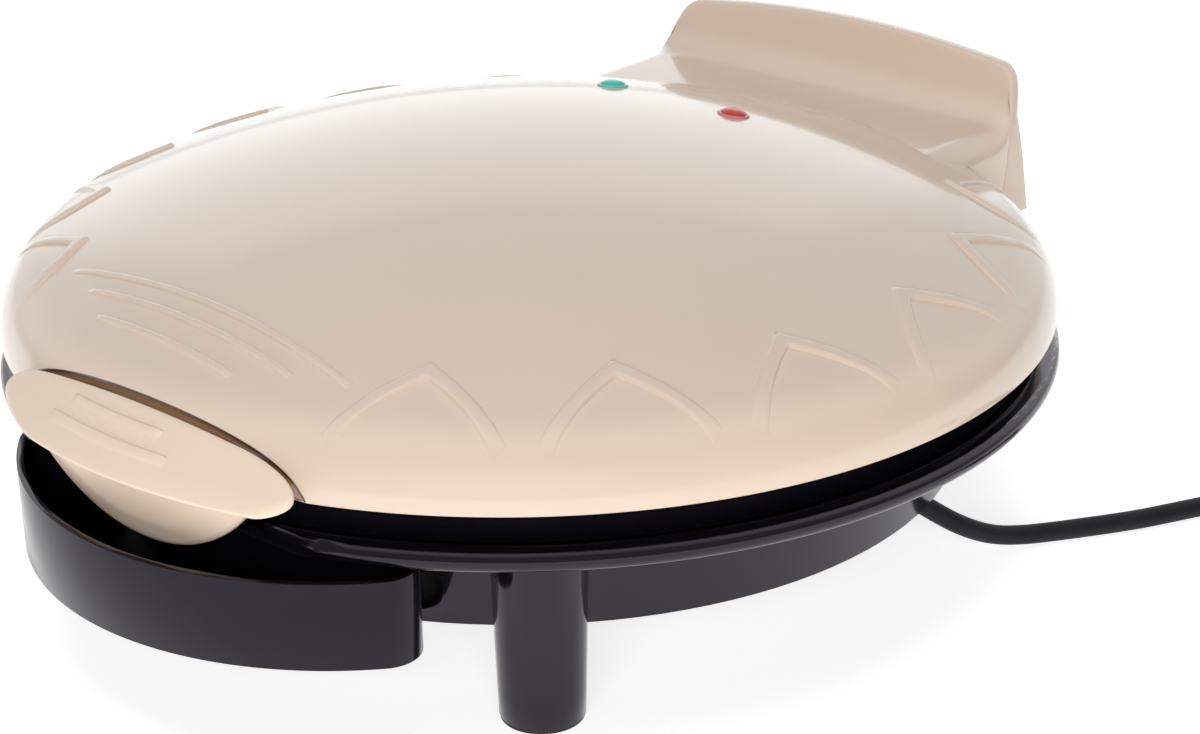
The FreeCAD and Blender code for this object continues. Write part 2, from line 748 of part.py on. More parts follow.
def lens():
    """Lens built up +Z from the lid's outer face: flange inside, barrel and low crown."""
    seat = -LID_WALL - SEATED
    flange = LENS_RADIUS + LENS_FLANGE
    corners = [
        V(0, 0, seat - LENS_FLANGE_THICKNESS),
        V(flange, 0, seat - LENS_FLANGE_THICKNESS),
        V(flange, 0, seat),
        V(LENS_RADIUS, 0, seat),
        V(LENS_RADIUS, 0, 0),
    ]
    top = V(0, 0, LENS_CROWN)
    bend = (LENS_RADIUS**2 + LENS_CROWN**2) / (2 * LENS_CROWN)
    half = asin(LENS_RADIUS / bend) / 2
    on_bend = V(bend * sin(half), 0, LENS_CROWN - bend + bend * cos(half))
    outline = Part.makePolygon(corners).Edges
    outline.append(Part.Arc(corners[-1], on_bend, top).toShape())
    outline.append(Part.LineSegment(top, corners[0]).toShape())
    return Part.Face(Part.Wire(outline)).revolve(V(), UP, 360)


def lamp_and_holder():
    back = -LID_WALL - SEATED - LENS_FLANGE_THICKNESS
    bore = LAMP_RADIUS + SLIDING
    floor = back - LAMP_LENGTH - 2 * SLIDING
    holder = disc(bore + HOLDER_WALL, floor - HOLDER_WALL, back).cut(disc(bore, floor, back))
    lamp = disc(LAMP_RADIUS, floor + SLIDING, back - SLIDING)
    return lamp, holder


lamp, holder = lamp_and_holder()
for name, (point, normal) in zip(("green_lens", "red_lens"), lamp_places()):
    nodes[name] = along(lens(), point, normal)
nodes["indicator_lamps"] = group([along(lamp, p, n) for p, n in lamp_places()])
nodes["lamp_holders"] = group([along(holder, p, n) for p, n in lamp_places()])


# Ring, plates and heaters


def lid_ring():
    """Black ring in the lid's mouth: seat flange above, wall, and a foot round the plate."""
    outer = LID_RADIUS - LID_WALL - 2 * SLIDING
    inner = PLATE_RADIUS + CLEAR
    ring = turned([
        (inner, RING_BOTTOM_Z),
        (RING_RADIUS, RING_BOTTOM_Z),
        (RING_RADIUS, RING_SEAT_Z),
        (outer, RING_SEAT_Z),
        (outer, RING_TOP),
        (RING_FLANGE_R, RING_TOP),
        (RING_FLANGE_R, RING_SEAT_Z),
        (RING_RADIUS - RING_WALL, RING_SEAT_Z),
        (RING_RADIUS - RING_WALL, RING_BOTTOM_Z + RING_WALL),
        (inner, RING_BOTTOM_Z + RING_WALL),
    ])
    below = disc(ALL_ROUND, 0, LID_EDGE_Z - SLIDING)
    ring = ring.common(front_cylinder(-LID_WALL - SLIDING).fuse(below))
    holes = [screw_hole(around(BOSS_RING, a, RING_SEAT_Z), UP) for a in BOSS_ANGLES]
    holes += [screw_hole(p + UP * (RING_TOP + SHEET), -UP) for p in reflector_screws()]
    return ring.cut(holes)


def reflector_screws():
    return [around(REFLECTOR_SCREW_R, 45 + 90 * i) for i in range(4)]


def plate_posts():
    return [around(POST_RING, 360 / POST_COUNT * i) for i in range(POST_COUNT)]


def upper_reflector():
    foot = REFLECTOR_FLANGE_R - REFLECTOR_FLANGE
    top = foot - REFLECTOR_CONE
    dish = turned([
        (0, UPPER_REFLECTOR_Z),
        (top, UPPER_REFLECTOR_Z),
        (foot, RING_TOP),
        (REFLECTOR_FLANGE_R, RING_TOP),
        (REFLECTOR_FLANGE_R, RING_TOP + SHEET),
        (foot + SHEET / 2, RING_TOP + SHEET),
        (top + SHEET / 2, UPPER_REFLECTOR_Z + SHEET),
        (0, UPPER_REFLECTOR_Z + SHEET),
    ])
    holes = [screw_hole(p + UP * (RING_TOP + SHEET), -UP) for p in reflector_screws()]
    holes += [screw_hole(p + UP * (UPPER_REFLECTOR_Z + SHEET), -UP) for p in plate_posts()]
    return dish.cut(holes)


def waffle_grid():
    """Crossed ribs on the baking face, as far as the face's edge."""
    count = int(BAKING_RADIUS / GRID_PITCH)
    bars = []
    for i in range(-count, count + 1):
        x = i * GRID_PITCH
        half = GRID_WIDTH / 2
        bar = box(x - half, x + half, -BAKING_RADIUS, BAKING_RADIUS, FACE_Z, FACE_Z + GRID_HEIGHT)
        for turn in (-45, 45):
            crossed = bar.copy()
            crossed.rotate(V(), UP, turn)
            bars.append(crossed)
    return bars[0].fuse(bars[1:]).common(disc(BAKING_RADIUS - GRID_WIDTH, 0, LID_APEX_Z))


def element(clearance):
    """Tubular heater as an open ring in the plate's bed, drawn with some clearance round it."""
    start = V(ELEMENT_RING, 0, BED_Z)
    section = Part.Face(Part.Wire(Part.makeCircle(ELEMENT_TUBE + clearance, start, V(0, 1, 0))))
    if clearance:
        return section.revolve(V(), UP, 360)
    ring = section.revolve(V(), UP, ELEMENT_SWEEP)
    ring.rotate(V(), UP, ELEMENT_GAP - 90 + (360 - ELEMENT_SWEEP) / 2)
    ends = [p + UP * BED_Z for p in terminal_places()]
    studs = [rod(TERMINAL_RADIUS, p, p - UP * TERMINAL_LENGTH) for p in ends]
    return joined([ring] + studs)


def terminal_places():
    spread = (360 - ELEMENT_SWEEP) / 2
    return [around(ELEMENT_RING, ELEMENT_GAP + side * spread) for side in (-1, 1)]


def cooking_plate(post_end_z):
    """Lower cooking plate with its rim, waffle grid, heater bed and posts below."""
    plate = turned([
        (0, PLATE_BACK_Z),
        (ELEMENT_RING - BED_HALF, PLATE_BACK_Z),
        (ELEMENT_RING - BED_HALF, BED_Z),
        (ELEMENT_RING + BED_HALF, BED_Z),
        (ELEMENT_RING + BED_HALF, PLATE_BACK_Z),
        (PLATE_BODY_R, PLATE_BACK_Z),
        (PLATE_BODY_R, RIM_FACE_Z - PLATE_RIM),
        (PLATE_RADIUS, RIM_FACE_Z - PLATE_RIM),
        (PLATE_RADIUS, RIM_FACE_Z),
        (BAKING_RADIUS, RIM_FACE_Z),
        (BAKING_RADIUS, FACE_Z),
        (0, FACE_Z),
    ])
    posts = [disc(POST_RADIUS, post_end_z, PLATE_BACK_Z, p.x, p.y) for p in plate_posts()]
    plate = joined([plate, waffle_grid()] + posts)
    holes = [screw_hole(p + UP * (post_end_z - SHEET), UP) for p in plate_posts()]
    return plate.cut([element(SEATED)] + holes)


def flipped(shape):
    """Mirror image across the parting plane between the plates."""
    return shape.mirror(V(0, 0, PARTING_Z), UP)


nodes["lid_ring"] = lid_ring()
nodes["upper_reflector"] = upper_reflector()
nodes["lower_plate"] = cooking_plate(LOWER_REFLECTOR_Z + SHEET)
nodes["upper_plate"] = flipped(cooking_plate(2 * PARTING_Z - UPPER_REFLECTOR_Z))
nodes["lower_element"] = element(0)
nodes["upper_element"] = flipped(element(0))

lid_screws = [screw(around(BOSS_RING, a, RING_SEAT_Z), UP) for a in BOSS_ANGLES]
lid_screws += [screw(p + UP * (RING_TOP + SHEET), -UP) for p in reflector_screws()]
lid_screws += [screw(p + UP * (UPPER_REFLECTOR_Z + SHEET), -UP) for p in plate_posts()]
nodes["lid_screws"] = group(lid_screws)


# Hinge


def hinge_bracket():
    """Plate that closes the tail from below, with two arms down to the hinge pins."""
    plate = box(-TAIL_BASE_HALF, TAIL_BASE_HALF, TAIL_FRONT_Y, TAIL_REAR_Y, BRACKET_Z, LID_EDGE_Z)
    plate = plate.cut(disc(RING_RADIUS + CLEAR, 0, LID_APEX_Z))
    pieces = [plate]
    for side in (-1, 1):
        x0 = side * ARM_X - ARM_WIDTH / 2
        x1 = x0 + ARM_WIDTH
        pieces.append(rod_x(EYE_RADIUS, x0, x1, HINGE_Y, HINGE_Z))
        foot_y = HINGE_Y - 2 * EYE_RADIUS
        foot_z = HINGE_Z + EYE_RADIUS / 2
        top_z = LID_EDGE_Z - BRACKET_THICKNESS / 2
        pieces.append(box(x0, x1, foot_y, HINGE_Y + EYE_RADIUS / 2, foot_z, top_z))
    bracket = joined(pieces)
    holes = [rod_x(HINGE_PIN_RADIUS + RUNNING, -ALL_ROUND, ALL_ROUND, HINGE_Y, HINGE_Z)]
    for x, y in bracket_places():
        holes += both_sides(screw_hole(V(x, y, BRACKET_Z), UP))
    return bracket.cut(holes)


def hinge_pin():
    inner = ARM_X - ARM_WIDTH / 2 - SLIDING - EAR_WIDTH - SEATED
    outer = ARM_X + ARM_WIDTH / 2 + SLIDING + EAR_WIDTH + SEATED
    shank = rod_x(HINGE_PIN_RADIUS, inner, outer, HINGE_Y, HINGE_Z)
    heads = [
        rod_x(HINGE_PIN_RADIUS + PIN_HEAD, inner - PIN_HEAD, inner, HINGE_Y, HINGE_Z),
        rod_x(HINGE_PIN_RADIUS + PIN_HEAD, outer, outer + PIN_HEAD, HINGE_Y, HINGE_Z),
    ]
    return joined([shank] + heads)


nodes["hinge_bracket"] = hinge_bracket()
nodes["hinge_pins"] = group(both_sides(hinge_pin()))
nodes["bracket_screws"] = group([
    s for x, y in bracket_places() for s in both_sides(screw(V(x, y, BRACKET_Z), UP))
])


# Base


def hinge_ears():
    """Four plates that reach back from the rim, two beside each arm of the lid."""
    ears = []
    offset = ARM_WIDTH / 2 + SLIDING + EAR_WIDTH / 2
    for middle in (ARM_X - offset, ARM_X + offset):
        x0 = middle - EAR_WIDTH / 2
        web = extruded(
            [
                V(x0, SKIRT_INNER - 2 * EYE_RADIUS, LOWER_REFLECTOR_Z),
                V(x0, SKIRT_INNER - 2 * EYE_RADIUS, LEDGE_Z - BASE_WALL / 2),
                V(x0, RIM_RADIUS - BASE_WALL, LEDGE_Z - BASE_WALL / 2),
                V(x0, HINGE_Y - EYE_RADIUS / 2, HINGE_Z + EYE_RADIUS / 2),
                V(x0, HINGE_Y, HINGE_Z - EYE_RADIUS),
                V(x0, RIM_RADIUS - 2 * EYE_RADIUS, LOWER_REFLECTOR_Z + BASE_WALL),
            ],
            RIGHT * EAR_WIDTH,
        )
        ears.append(web.fuse(rod_x(EYE_RADIUS, x0, x0 + EAR_WIDTH, HINGE_Y, HINGE_Z)))
    inside = disc(SKIRT_INNER, 0, LEDGE_Z)
    return [piece.cut(inside) for ear in ears for piece in both_sides(ear)]


def foot_places():
    angles = (FRONT_FOOT_ANGLE, REAR_FOOT_ANGLE, -REAR_FOOT_ANGLE, -FRONT_FOOT_ANGLE)
    return [around(FOOT_RING, a) for a in angles]


def foot_cone(inset, top_z):
    """Tapered foot from its pad up to the rim, drawn in by inset."""
    taper = (FOOT_TOP_RADIUS - FOOT_END_RADIUS) / (RIM_BOTTOM_Z - PAD_THICKNESS)
    top = FOOT_END_RADIUS + taper * (top_z - PAD_THICKNESS)
    return Part.makeCone(FOOT_END_RADIUS - inset, top - inset, top_z - PAD_THICKNESS, UP * PAD_THICKNESS)


def columns():
    return [around(SKIRT_RADIUS - COLUMN_RADIUS - BASE_WALL / 2, a) for a in COLUMN_ANGLES]


def tray_slot():
    """Round-ended slot through the front of the skirt for the tray's tongue plate."""
    half = SLOT_HEIGHT / 2
    z = SLOT_Z + half
    x = SLOT_HALF - half
    end = rod(half, V(x, -RIM_RADIUS, z), V(x, 0, z))
    return [box(-x, x, -RIM_RADIUS, 0, SLOT_Z, SLOT_Z + SLOT_HEIGHT)] + both_sides(end)


def rim_and_skirt():
    lip_edge = RIM_RADIUS - RIM_ROUND
    corners = [
        V(SKIRT_INNER, 0, SKIRT_BOTTOM_Z),
        V(SKIRT_RADIUS, 0, SKIRT_BOTTOM_Z),
        V(SKIRT_RADIUS, 0, RIM_BOTTOM_Z),
        V(lip_edge, 0, RIM_BOTTOM_Z),
    ]
    rest = [
        V(lip_edge, 0, RIM_TOP_Z),
        V(RIM_RADIUS - LIP_WIDTH, 0, RIM_TOP_Z),
        V(RIM_RADIUS - LIP_WIDTH, 0, LEDGE_Z),
        V(SKIRT_INNER, 0, LEDGE_Z),
        corners[0],
    ]
    outline = Part.makePolygon(corners).Edges
    middle = V(RIM_RADIUS, 0, (RIM_BOTTOM_Z + RIM_TOP_Z) / 2)
    outline.append(Part.Arc(corners[-1], middle, rest[0]).toShape())
    outline += Part.makePolygon(rest).Edges
    return Part.Face(Part.Wire(outline)).revolve(V(), UP, 360)


def base_shell():
    feet = [along(foot_cone(0, RIM_BOTTOM_Z + BASE_WALL / 2), p, UP) for p in foot_places()]
    posts = [disc(COLUMN_RADIUS, COVER_TOP, LOWER_REFLECTOR_Z, p.x, p.y) for p in columns()]
    shell = joined([rim_and_skirt()] + feet + posts + hinge_ears())
    cuts = [along(foot_cone(FOOT_WALL, RIM_BOTTOM_Z - FOOT_WALL), p, UP) for p in foot_places()]
    cuts += tray_slot()
    z0 = RIM_BOTTOM_Z - CLEAR
    cuts.append(box(-RIM_RADIUS, RIM_RADIUS, -2 * RIM_RADIUS, -SPOUT_Y, z0, RIM_TOP_Z + CLEAR))
    cuts.append(disc(SKIRT_INNER, PLATE_BACK_Z - SLIDING, RIM_TOP_Z))
    cuts.append(rod_x(HINGE_PIN_RADIUS + RUNNING, -ALL_ROUND, ALL_ROUND, HINGE_Y, HINGE_Z))
    for p in columns():
        cuts.append(screw_hole(p + UP * COVER_Z, UP))
        cuts.append(screw_hole(p + UP * (LOWER_REFLECTOR_Z + SHEET), -UP))
    return shell.cut(cuts)


def foot_pad():
    plug = FOOT_END_RADIUS - FOOT_WALL - SLIDING
    sole = disc(FOOT_END_RADIUS - SLIDING, 0, PAD_THICKNESS)
    return joined([sole, disc(plug, 0, PAD_THICKNESS + PAD_PLUG)])


def lower_reflector():
    sheet = disc(SKIRT_INNER - 2 * SLIDING, LOWER_REFLECTOR_Z, LOWER_REFLECTOR_Z + SHEET)
    cuts = [disc(FOOT_TOP_RADIUS + 2 * SLIDING, 0, LID_APEX_Z, p.x, p.y) for p in foot_places()]
    cuts += [disc(3 * TERMINAL_RADIUS, 0, LID_APEX_Z, p.x, p.y) for p in terminal_places()]
    cuts.append(disc(THERMOSTAT_RADIUS + THERMOSTAT_ROOM, 0, LID_APEX_Z))
    cuts += [screw_hole(p + UP * (LOWER_REFLECTOR_Z + SHEET), -UP) for p in columns()]
    cuts += [screw_hole(p + UP * LOWER_REFLECTOR_Z, UP) for p in plate_posts()]
    return sheet.cut(cuts)


GLAND_HEADING = (CORD_ROUTE[1] - CORD_ROUTE[0]).normalize()
GLAND_START = CORD_ROUTE[0] - GLAND_HEADING * (GLAND_BODY + GLAND_TAPER)


def bottom_cover():
    """Round cover under the base, with a slanted outlet for the mains lead."""
    cover = disc(SKIRT_INNER - SLIDING, COVER_Z, COVER_TOP)
    cover = cover.cut([disc(FOOT_TOP_RADIUS + SLIDING, 0, LID_APEX_Z, p.x, p.y) for p in foot_places()])
    middle = GLAND_START + GLAND_HEADING * (GLAND_BODY / 2)
    outlet = box(
        middle.x - OUTLET_HALF,
        middle.x + OUTLET_HALF,
        middle.y - OUTLET_HALF,
        middle.y + OUTLET_HALF,
        COVER_TOP,
        GLAND_START.z,
    )
    bore = rod(GLAND_RADIUS + SEATED, GLAND_START - GLAND_HEADING * 2 * GLAND_RADIUS, CORD_ROUTE[0])
    holes = [screw_hole(p + UP * COVER_Z, UP) for p in columns()]
    return joined([cover, outlet]).cut([bore] + holes)


def tray_runners():
    """Two rails on the bottom cover that guide the tray's tongue plate."""
    x0 = TONGUE_PLATE_HALF - RUNNER_LIP
    x1 = TONGUE_PLATE_HALF + SLIDING + RUNNER_WIDTH
    front = CLEAR - sqrt(SKIRT_INNER**2 - x1**2)
    back = front + RUNNER_LENGTH
    top = TONGUE_PLATE_Z + TONGUE_PLATE_THICKNESS + SLIDING
    rail = box(x0, x1, front, back, COVER_TOP, top + RUNNER_WIDTH)
    groove = box(0, TONGUE_PLATE_HALF + SLIDING, front, back, TONGUE_PLATE_Z - SLIDING, top)
    return group(both_sides(rail.cut(groove)))


nodes["base_shell"] = base_shell()
nodes["foot_pads"] = group([along(foot_pad(), p, UP) for p in foot_places()])
nodes["lower_reflector"] = lower_reflector()
nodes["bottom_cover"] = bottom_cover()
nodes["tray_runners"] = tray_runners()

base_screws = [screw(p + UP * COVER_Z, UP) for p in columns()]
base_screws += [screw(p + UP * (LOWER_REFLECTOR_Z + SHEET), -UP) for p in columns()]
base_screws += [screw(p + UP * LOWER_REFLECTOR_Z, UP) for p in plate_posts()]
nodes["base_screws"] = group(base_screws)


# Electrical pieces in the base

nodes["thermostat"] = disc(THERMOSTAT_RADIUS, PLATE_BACK_Z - THERMOSTAT_HEIGHT, PLATE_BACK_Z)
fuse_z = PLATE_BACK_Z - FUSE_RADIUS - SEATED
nodes["thermal_fuse"] = rod_x(FUSE_RADIUS, FUSE_X - FUSE_LENGTH / 2, FUSE_X + FUSE_LENGTH / 2, 0, fuse_z)
nodes["terminal_block"] = box(
    BLOCK_PLACE[0] - BLOCK_SIZE[0] / 2,
    BLOCK_PLACE[0] + BLOCK_SIZE[0] / 2,
    BLOCK_PLACE[1] - BLOCK_SIZE[1] / 2,
    BLOCK_PLACE[1] + BLOCK_SIZE[1] / 2,
    COVER_TOP,
    COVER_TOP + BLOCK_SIZE[2],
)


# Drip tray


def tray_block(inset, z0, z1):
    """Crescent in front of the skirt between two slanted ends, drawn in by inset."""
    back = SKIRT_RADIUS + TRAY_BACK_GAP
    crescent = disc(TRAY_BEND - inset, z0, z1, TRAY_ASIDE, -TRAY_CENTRE_Y)
    crescent = crescent.cut(disc(back + inset, z0, z1))
    a = radians(TRAY_END_TURN)
    ends = []
    for side in (-1, 1):
        foot_x = TRAY_ASIDE + side * TRAY_BACK_HALF
        foot = V(foot_x, -sqrt(back**2 - foot_x**2), 0)
        outward = V(side * cos(a), sin(a), 0)
        keep = box(-ALL_ROUND, 0, -ALL_ROUND, ALL_ROUND, z0, z1)
        ends.append(along_x(keep, foot - outward * inset, outward))
    crescent = crescent.common(ends[0]).common(ends[1])
    front = max(crescent.Solids, key=lambda s: -s.CenterOfMass.y)
    corners = [e for e in front.Edges if is_upright(e) and is_outside(e, SKIRT_RADIUS + TRAY_CORNER)]
    return front.makeFillet(TRAY_CORNER - inset, corners)


def along_x(shape, point, direction):
    """Shape built along +X at the origin, set at a point with +X along a level direction."""
    placed = shape.copy()
    turn = degrees(atan2(direction.y, direction.x))
    placed.Placement = FreeCAD.Placement(point, FreeCAD.Rotation(UP, turn))
    return placed


def drip_tray():
    floor = TRAY_BOTTOM_Z + TRAY_WALL
    tray = tray_block(0, TRAY_BOTTOM_Z, TRAY_TOP_Z).cut(tray_block(TRAY_WALL, floor, TRAY_TOP_Z))
    back = SKIRT_RADIUS + TRAY_BACK_GAP + TRAY_WALL
    low = disc(back + CLEAR, TRAY_BACK_TOP_Z, TRAY_TOP_Z)
    low = low.common(box(-TONGUE_PLATE_HALF, TONGUE_PLATE_HALF, -RIM_RADIUS, 0, 0, LID_APEX_Z))
    plate = box(
        -TONGUE_PLATE_HALF,
        TONGUE_PLATE_HALF,
        -SKIRT_RADIUS - TRAY_BACK_GAP,
        -TONGUE_PLATE_REACH,
        TONGUE_PLATE_Z,
        TONGUE_PLATE_Z + TONGUE_PLATE_THICKNESS,
    )
    plate = plate.common(disc(back - TRAY_WALL / 2, 0, LID_APEX_Z))
    return joined([tray.cut(low), plate])


nodes["drip_tray"] = drip_tray()


# Mains lead


def tangent_path(points):
    """Straight runs through points, joined by arcs as large as the runs allow."""
    edges, radii = [], []
    last = points[0]
    for before, corner, after in zip(points, points[1:], points[2:]):
        into, out = corner - before, after - corner
        turn = into.getAngle(out)
        reach = 0.45 * min(into.Length, out.Length)
        radii.append(reach / tan(turn / 2))
        start = corner - into.normalize() * reach
        end = corner + out.normalize() * reach
        edges.append(Part.LineSegment(last, start).toShape())
        edges.append(arc_between(start, corner, end))
        last = end
    edges.append(Part.LineSegment(last, points[-1]).toShape())
    print("bend radii in diameters:", [round(r / CORD_DIAMETER, 1) for r in radii])
    return edges


def coil_path(start, heading):
    """Two-layer coil: spirals in, climbs a layer in half a turn, spirals out, clockwise."""
    outer = COIL_RADIUS + COIL_STEP * TURNS_IN / 2
    rate = COIL_STEP / (2 * pi)
    inner = outer - COIL_STEP * TURNS_IN
    bearing = atan2(heading.y, heading.x) + pi / 2 + atan2(rate, outer)
    run = start + heading * CORD_DIAMETER
    centre = run - V(outer * cos(bearing), outer * sin(bearing), 0)
    quarters_in = int(4 * TURNS_IN)
    quarters_out = int(4 * TURNS_OUT)
    rings = [(outer - COIL_STEP * i / 4, -rate, 0.0, 0.0) for i in range(quarters_in + 1)]
    rings.append((inner - COIL_STEP / 8, 0.0, COIL_LAYER / 2, 1.5 * COIL_LAYER / pi))
    rings += [(inner + COIL_STEP * i / 4, rate, COIL_LAYER, 0.0) for i in range(quarters_out + 1)]
    stations = []
    for i, (radius, growth, climb, steepness) in enumerate(rings):
        a = bearing - i * pi / 2
        place = centre + V(radius * cos(a), radius * sin(a), climb)
        way = V(growth * cos(a) + radius * sin(a), growth * sin(a) - radius * cos(a), steepness)
        stations.append((place, way.normalize()))
    edges = [Part.LineSegment(start, stations[0][0]).toShape()]
    for (p, t), (q, u) in zip(stations, stations[1:]):
        edges += biarc(p, t, q, u)
    place, way = stations[-1]
    end = place + way * CORD_DIAMETER
    edges.append(Part.LineSegment(place, end).toShape())
    return edges, centre, end, way


last_run = (CORD_ROUTE[-1] - CORD_ROUTE[-2]).normalize()
coil_start = CORD_ROUTE[-1] + V(last_run.x, last_run.y, 0).normalize() * COIL_RUN_IN
coil_heading = (coil_start - CORD_ROUTE[-1]).normalize()
coil_edges, coil_centre, lead_start, lead_heading = coil_path(coil_start, coil_heading)
sideways = UP.cross(lead_heading)
plug_rise = PLUG_RADIUS - lead_start.z
lead_points = [lead_start]
for forward, left, risen in LEAD_STEPS:
    lead_points.append(lead_start + lead_heading * forward + sideways * left + UP * (plug_rise * risen))
plug_heading = (lead_points[-1] - lead_points[-2]).normalize()
print("coil gap to itself:", round(least_gap(coil_edges, CORD_DIAMETER), 3))
cord_edges = tangent_path(list(CORD_ROUTE) + [coil_start])
lead_edges = tangent_path(lead_points)
cord_length = sum(e.Length for e in cord_edges + coil_edges + lead_edges)
print("cord length in metres:", round(cord_length / 1000, 3))

gland = rod(GLAND_RADIUS, GLAND_START, GLAND_START + GLAND_HEADING * GLAND_BODY)
taper = Part.makeCone(
    GLAND_RADIUS, GLAND_END_RADIUS, GLAND_TAPER, GLAND_START + GLAND_HEADING * GLAND_BODY, GLAND_HEADING
)
nodes["cord_gland"] = joined([gland, taper])
nodes["power_cord"] = pipe(cord_edges, CORD_RADIUS)
nodes["cord_coil"] = pipe(coil_edges, CORD_RADIUS)
nodes["plug_lead"] = pipe(lead_edges, CORD_RADIUS)


def cord_tie():
    """Band round the bundle of turns at one place of the coil."""
    swing = COIL_STEP * TURNS_IN / 2 + CORD_RADIUS + SLIDING
    r0 = COIL_RADIUS - swing - COIL_STEP / 8
    r1 = COIL_RADIUS + swing
    z0 = COIL_LIFT - SLIDING
    z1 = COIL_LIFT + COIL_LAYER + CORD_DIAMETER + SLIDING
    t = TIE_THICKNESS
    half = TIE_WIDTH / 2
    band = box(r0 - t, r1 + t, -half, half, z0 - t, z1 + t).cut(box(r0, r1, -half, half, z0, z1))
    a = radians(TIE_ANGLE)
    return along_x(band, V(coil_centre.x, coil_centre.y, 0), V(cos(a), sin(a), 0))


nodes["cord_tie"] = cord_tie()

plug_axis = V(plug_heading.x, plug_heading.y, 0).normalize()
plug_start = lead_points[-1]
plug_face = plug_start + plug_axis * PLUG_LENGTH


def plug_pins(clearance):
    across = UP.cross(plug_axis) * PLUG_PIN_SPACING
    start = plug_face - plug_axis * (PLUG_LENGTH / 4)
    end = plug_face + plug_axis * PLUG_PIN_LENGTH
    radius = PLUG_PIN_RADIUS + clearance
    return [rod(radius, start + shift, end + shift) for shift in (across, -across)]


neck = Part.makeCone(PLUG_NECK_RADIUS, PLUG_RADIUS, PLUG_LENGTH - PLUG_FACE, plug_start, plug_axis)
head = rod(PLUG_RADIUS, plug_face - plug_axis * PLUG_FACE, plug_face)
nodes["plug_body"] = joined([neck, head]).cut(plug_pins(SEATED))
nodes["plug_pins"] = group(plug_pins(0))


# Files, one for each piece or group of like pieces

os.makedirs("parts", exist_ok=True)
for node, shape in nodes.items():
    shape.exportStep(f"parts/{node}.step")
    print(node, shape.isValid(), len(shape.Solids), round(shape.Volume / 1000, 2))
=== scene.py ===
import json
from math import acos, asin, atan2, cos, hypot, pi, radians, sin, sqrt, tan

import bmesh
import bpy
from mathutils import Matrix, Vector

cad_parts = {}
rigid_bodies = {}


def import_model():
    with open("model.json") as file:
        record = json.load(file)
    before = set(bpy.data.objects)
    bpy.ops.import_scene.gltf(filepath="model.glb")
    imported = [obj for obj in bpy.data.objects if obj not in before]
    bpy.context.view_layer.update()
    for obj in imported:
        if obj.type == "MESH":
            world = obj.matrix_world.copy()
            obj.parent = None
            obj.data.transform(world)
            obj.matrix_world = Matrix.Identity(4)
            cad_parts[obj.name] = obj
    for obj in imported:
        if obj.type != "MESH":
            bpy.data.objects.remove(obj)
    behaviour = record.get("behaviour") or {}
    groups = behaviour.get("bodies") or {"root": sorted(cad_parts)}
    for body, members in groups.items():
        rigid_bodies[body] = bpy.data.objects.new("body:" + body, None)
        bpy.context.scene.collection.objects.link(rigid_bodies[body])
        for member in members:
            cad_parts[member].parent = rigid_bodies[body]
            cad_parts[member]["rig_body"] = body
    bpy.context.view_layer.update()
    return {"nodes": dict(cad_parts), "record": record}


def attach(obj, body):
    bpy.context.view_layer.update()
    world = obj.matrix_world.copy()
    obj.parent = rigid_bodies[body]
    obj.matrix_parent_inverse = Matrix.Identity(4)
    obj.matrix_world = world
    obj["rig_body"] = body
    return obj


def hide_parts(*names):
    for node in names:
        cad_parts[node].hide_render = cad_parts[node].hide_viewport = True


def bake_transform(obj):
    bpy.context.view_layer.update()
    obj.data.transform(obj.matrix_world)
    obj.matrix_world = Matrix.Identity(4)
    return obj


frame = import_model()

nodes = frame["nodes"]

# Camera, fitted to the photograph's view (1200 x 734), in metres and degrees
CAMERA_PLACE = (0.5402, -0.5912, 0.3935)
CAMERA_TURN = 40.807
CAMERA_TILT = 66.67
CAMERA_ROLL = -0.73
CAMERA_LENS = 77.77
SENSOR_WIDTH = 36.0
CLIP_START = 0.01

# Mains lead, in metres: the points it passes, then a put-away coil and a short lead to the plug
CORD_DIAMETER = 0.0065
CORD_ROUTE = (
    (0.1290, 0.0370, 0.0255),
    (0.1343, 0.0450, 0.0181),
    (0.1396, 0.0536, 0.0116),
    (0.1442, 0.0634, 0.0066),
    (0.1489, 0.0740, 0.0041),
    (0.1546, 0.0840, 0.0033),
    (0.1603, 0.0924, 0.00325),
    (0.1664, 0.1012, 0.0033),
    (0.1722, 0.1106, 0.00325),
    (0.1773, 0.1202, 0.0033),
    (0.1830, 0.1304, 0.0035),
    (0.1896, 0.1410, 0.0040),
    (0.1959, 0.1522, 0.00435),
)
COIL_RADIUS = 0.036
COIL_STEP = 0.0072
COIL_LAYER = 0.0071
COIL_RUN_IN = 0.013
TURNS_IN = 2
TURNS_OUT = 1.75
POINTS_PER_TURN = 24
LEAD_STEPS = ((0.014, 0.0, 0.0), (0.028, 0.0024, 0.5), (0.042, 0.0066, 1.0), (0.056, 0.0124, 1.0))
PLUG_RADIUS = 0.013

# Lid, in metres
LID_RADIUS = 0.1725
LID_EDGE_Z = 0.0783
LID_APEX_Z = 0.1314
LID_SHOULDER = 0.0241
LID_WALL = 0.003
LID_LIP = 0.001
FACE_BEND = 0.530
FACE_Y = 0.1648
FACE_EDGE = 0.0004
FACE_TURN = 0.6
FACE_CLOSE = 0.00002
EDGE_MARGIN = 0.002
GAP_DEPTH = 0.003
SHOULDER_R = LID_RADIUS - LID_SHOULDER
RISE = LID_APEX_Z - LID_EDGE_Z
CROWN_RADIUS = (SHOULDER_R**2 + RISE**2 - LID_SHOULDER**2) / (2 * (RISE - LID_SHOULDER))
CROWN_Z = LID_APEX_Z - CROWN_RADIUS
CROWN_SWEEP = atan2(SHOULDER_R, LID_EDGE_Z - CROWN_Z)
CROWN_LENGTH = CROWN_RADIUS * CROWN_SWEEP
PROFILE_LENGTH = CROWN_LENGTH + LID_SHOULDER * (pi / 2 - CROWN_SWEEP)

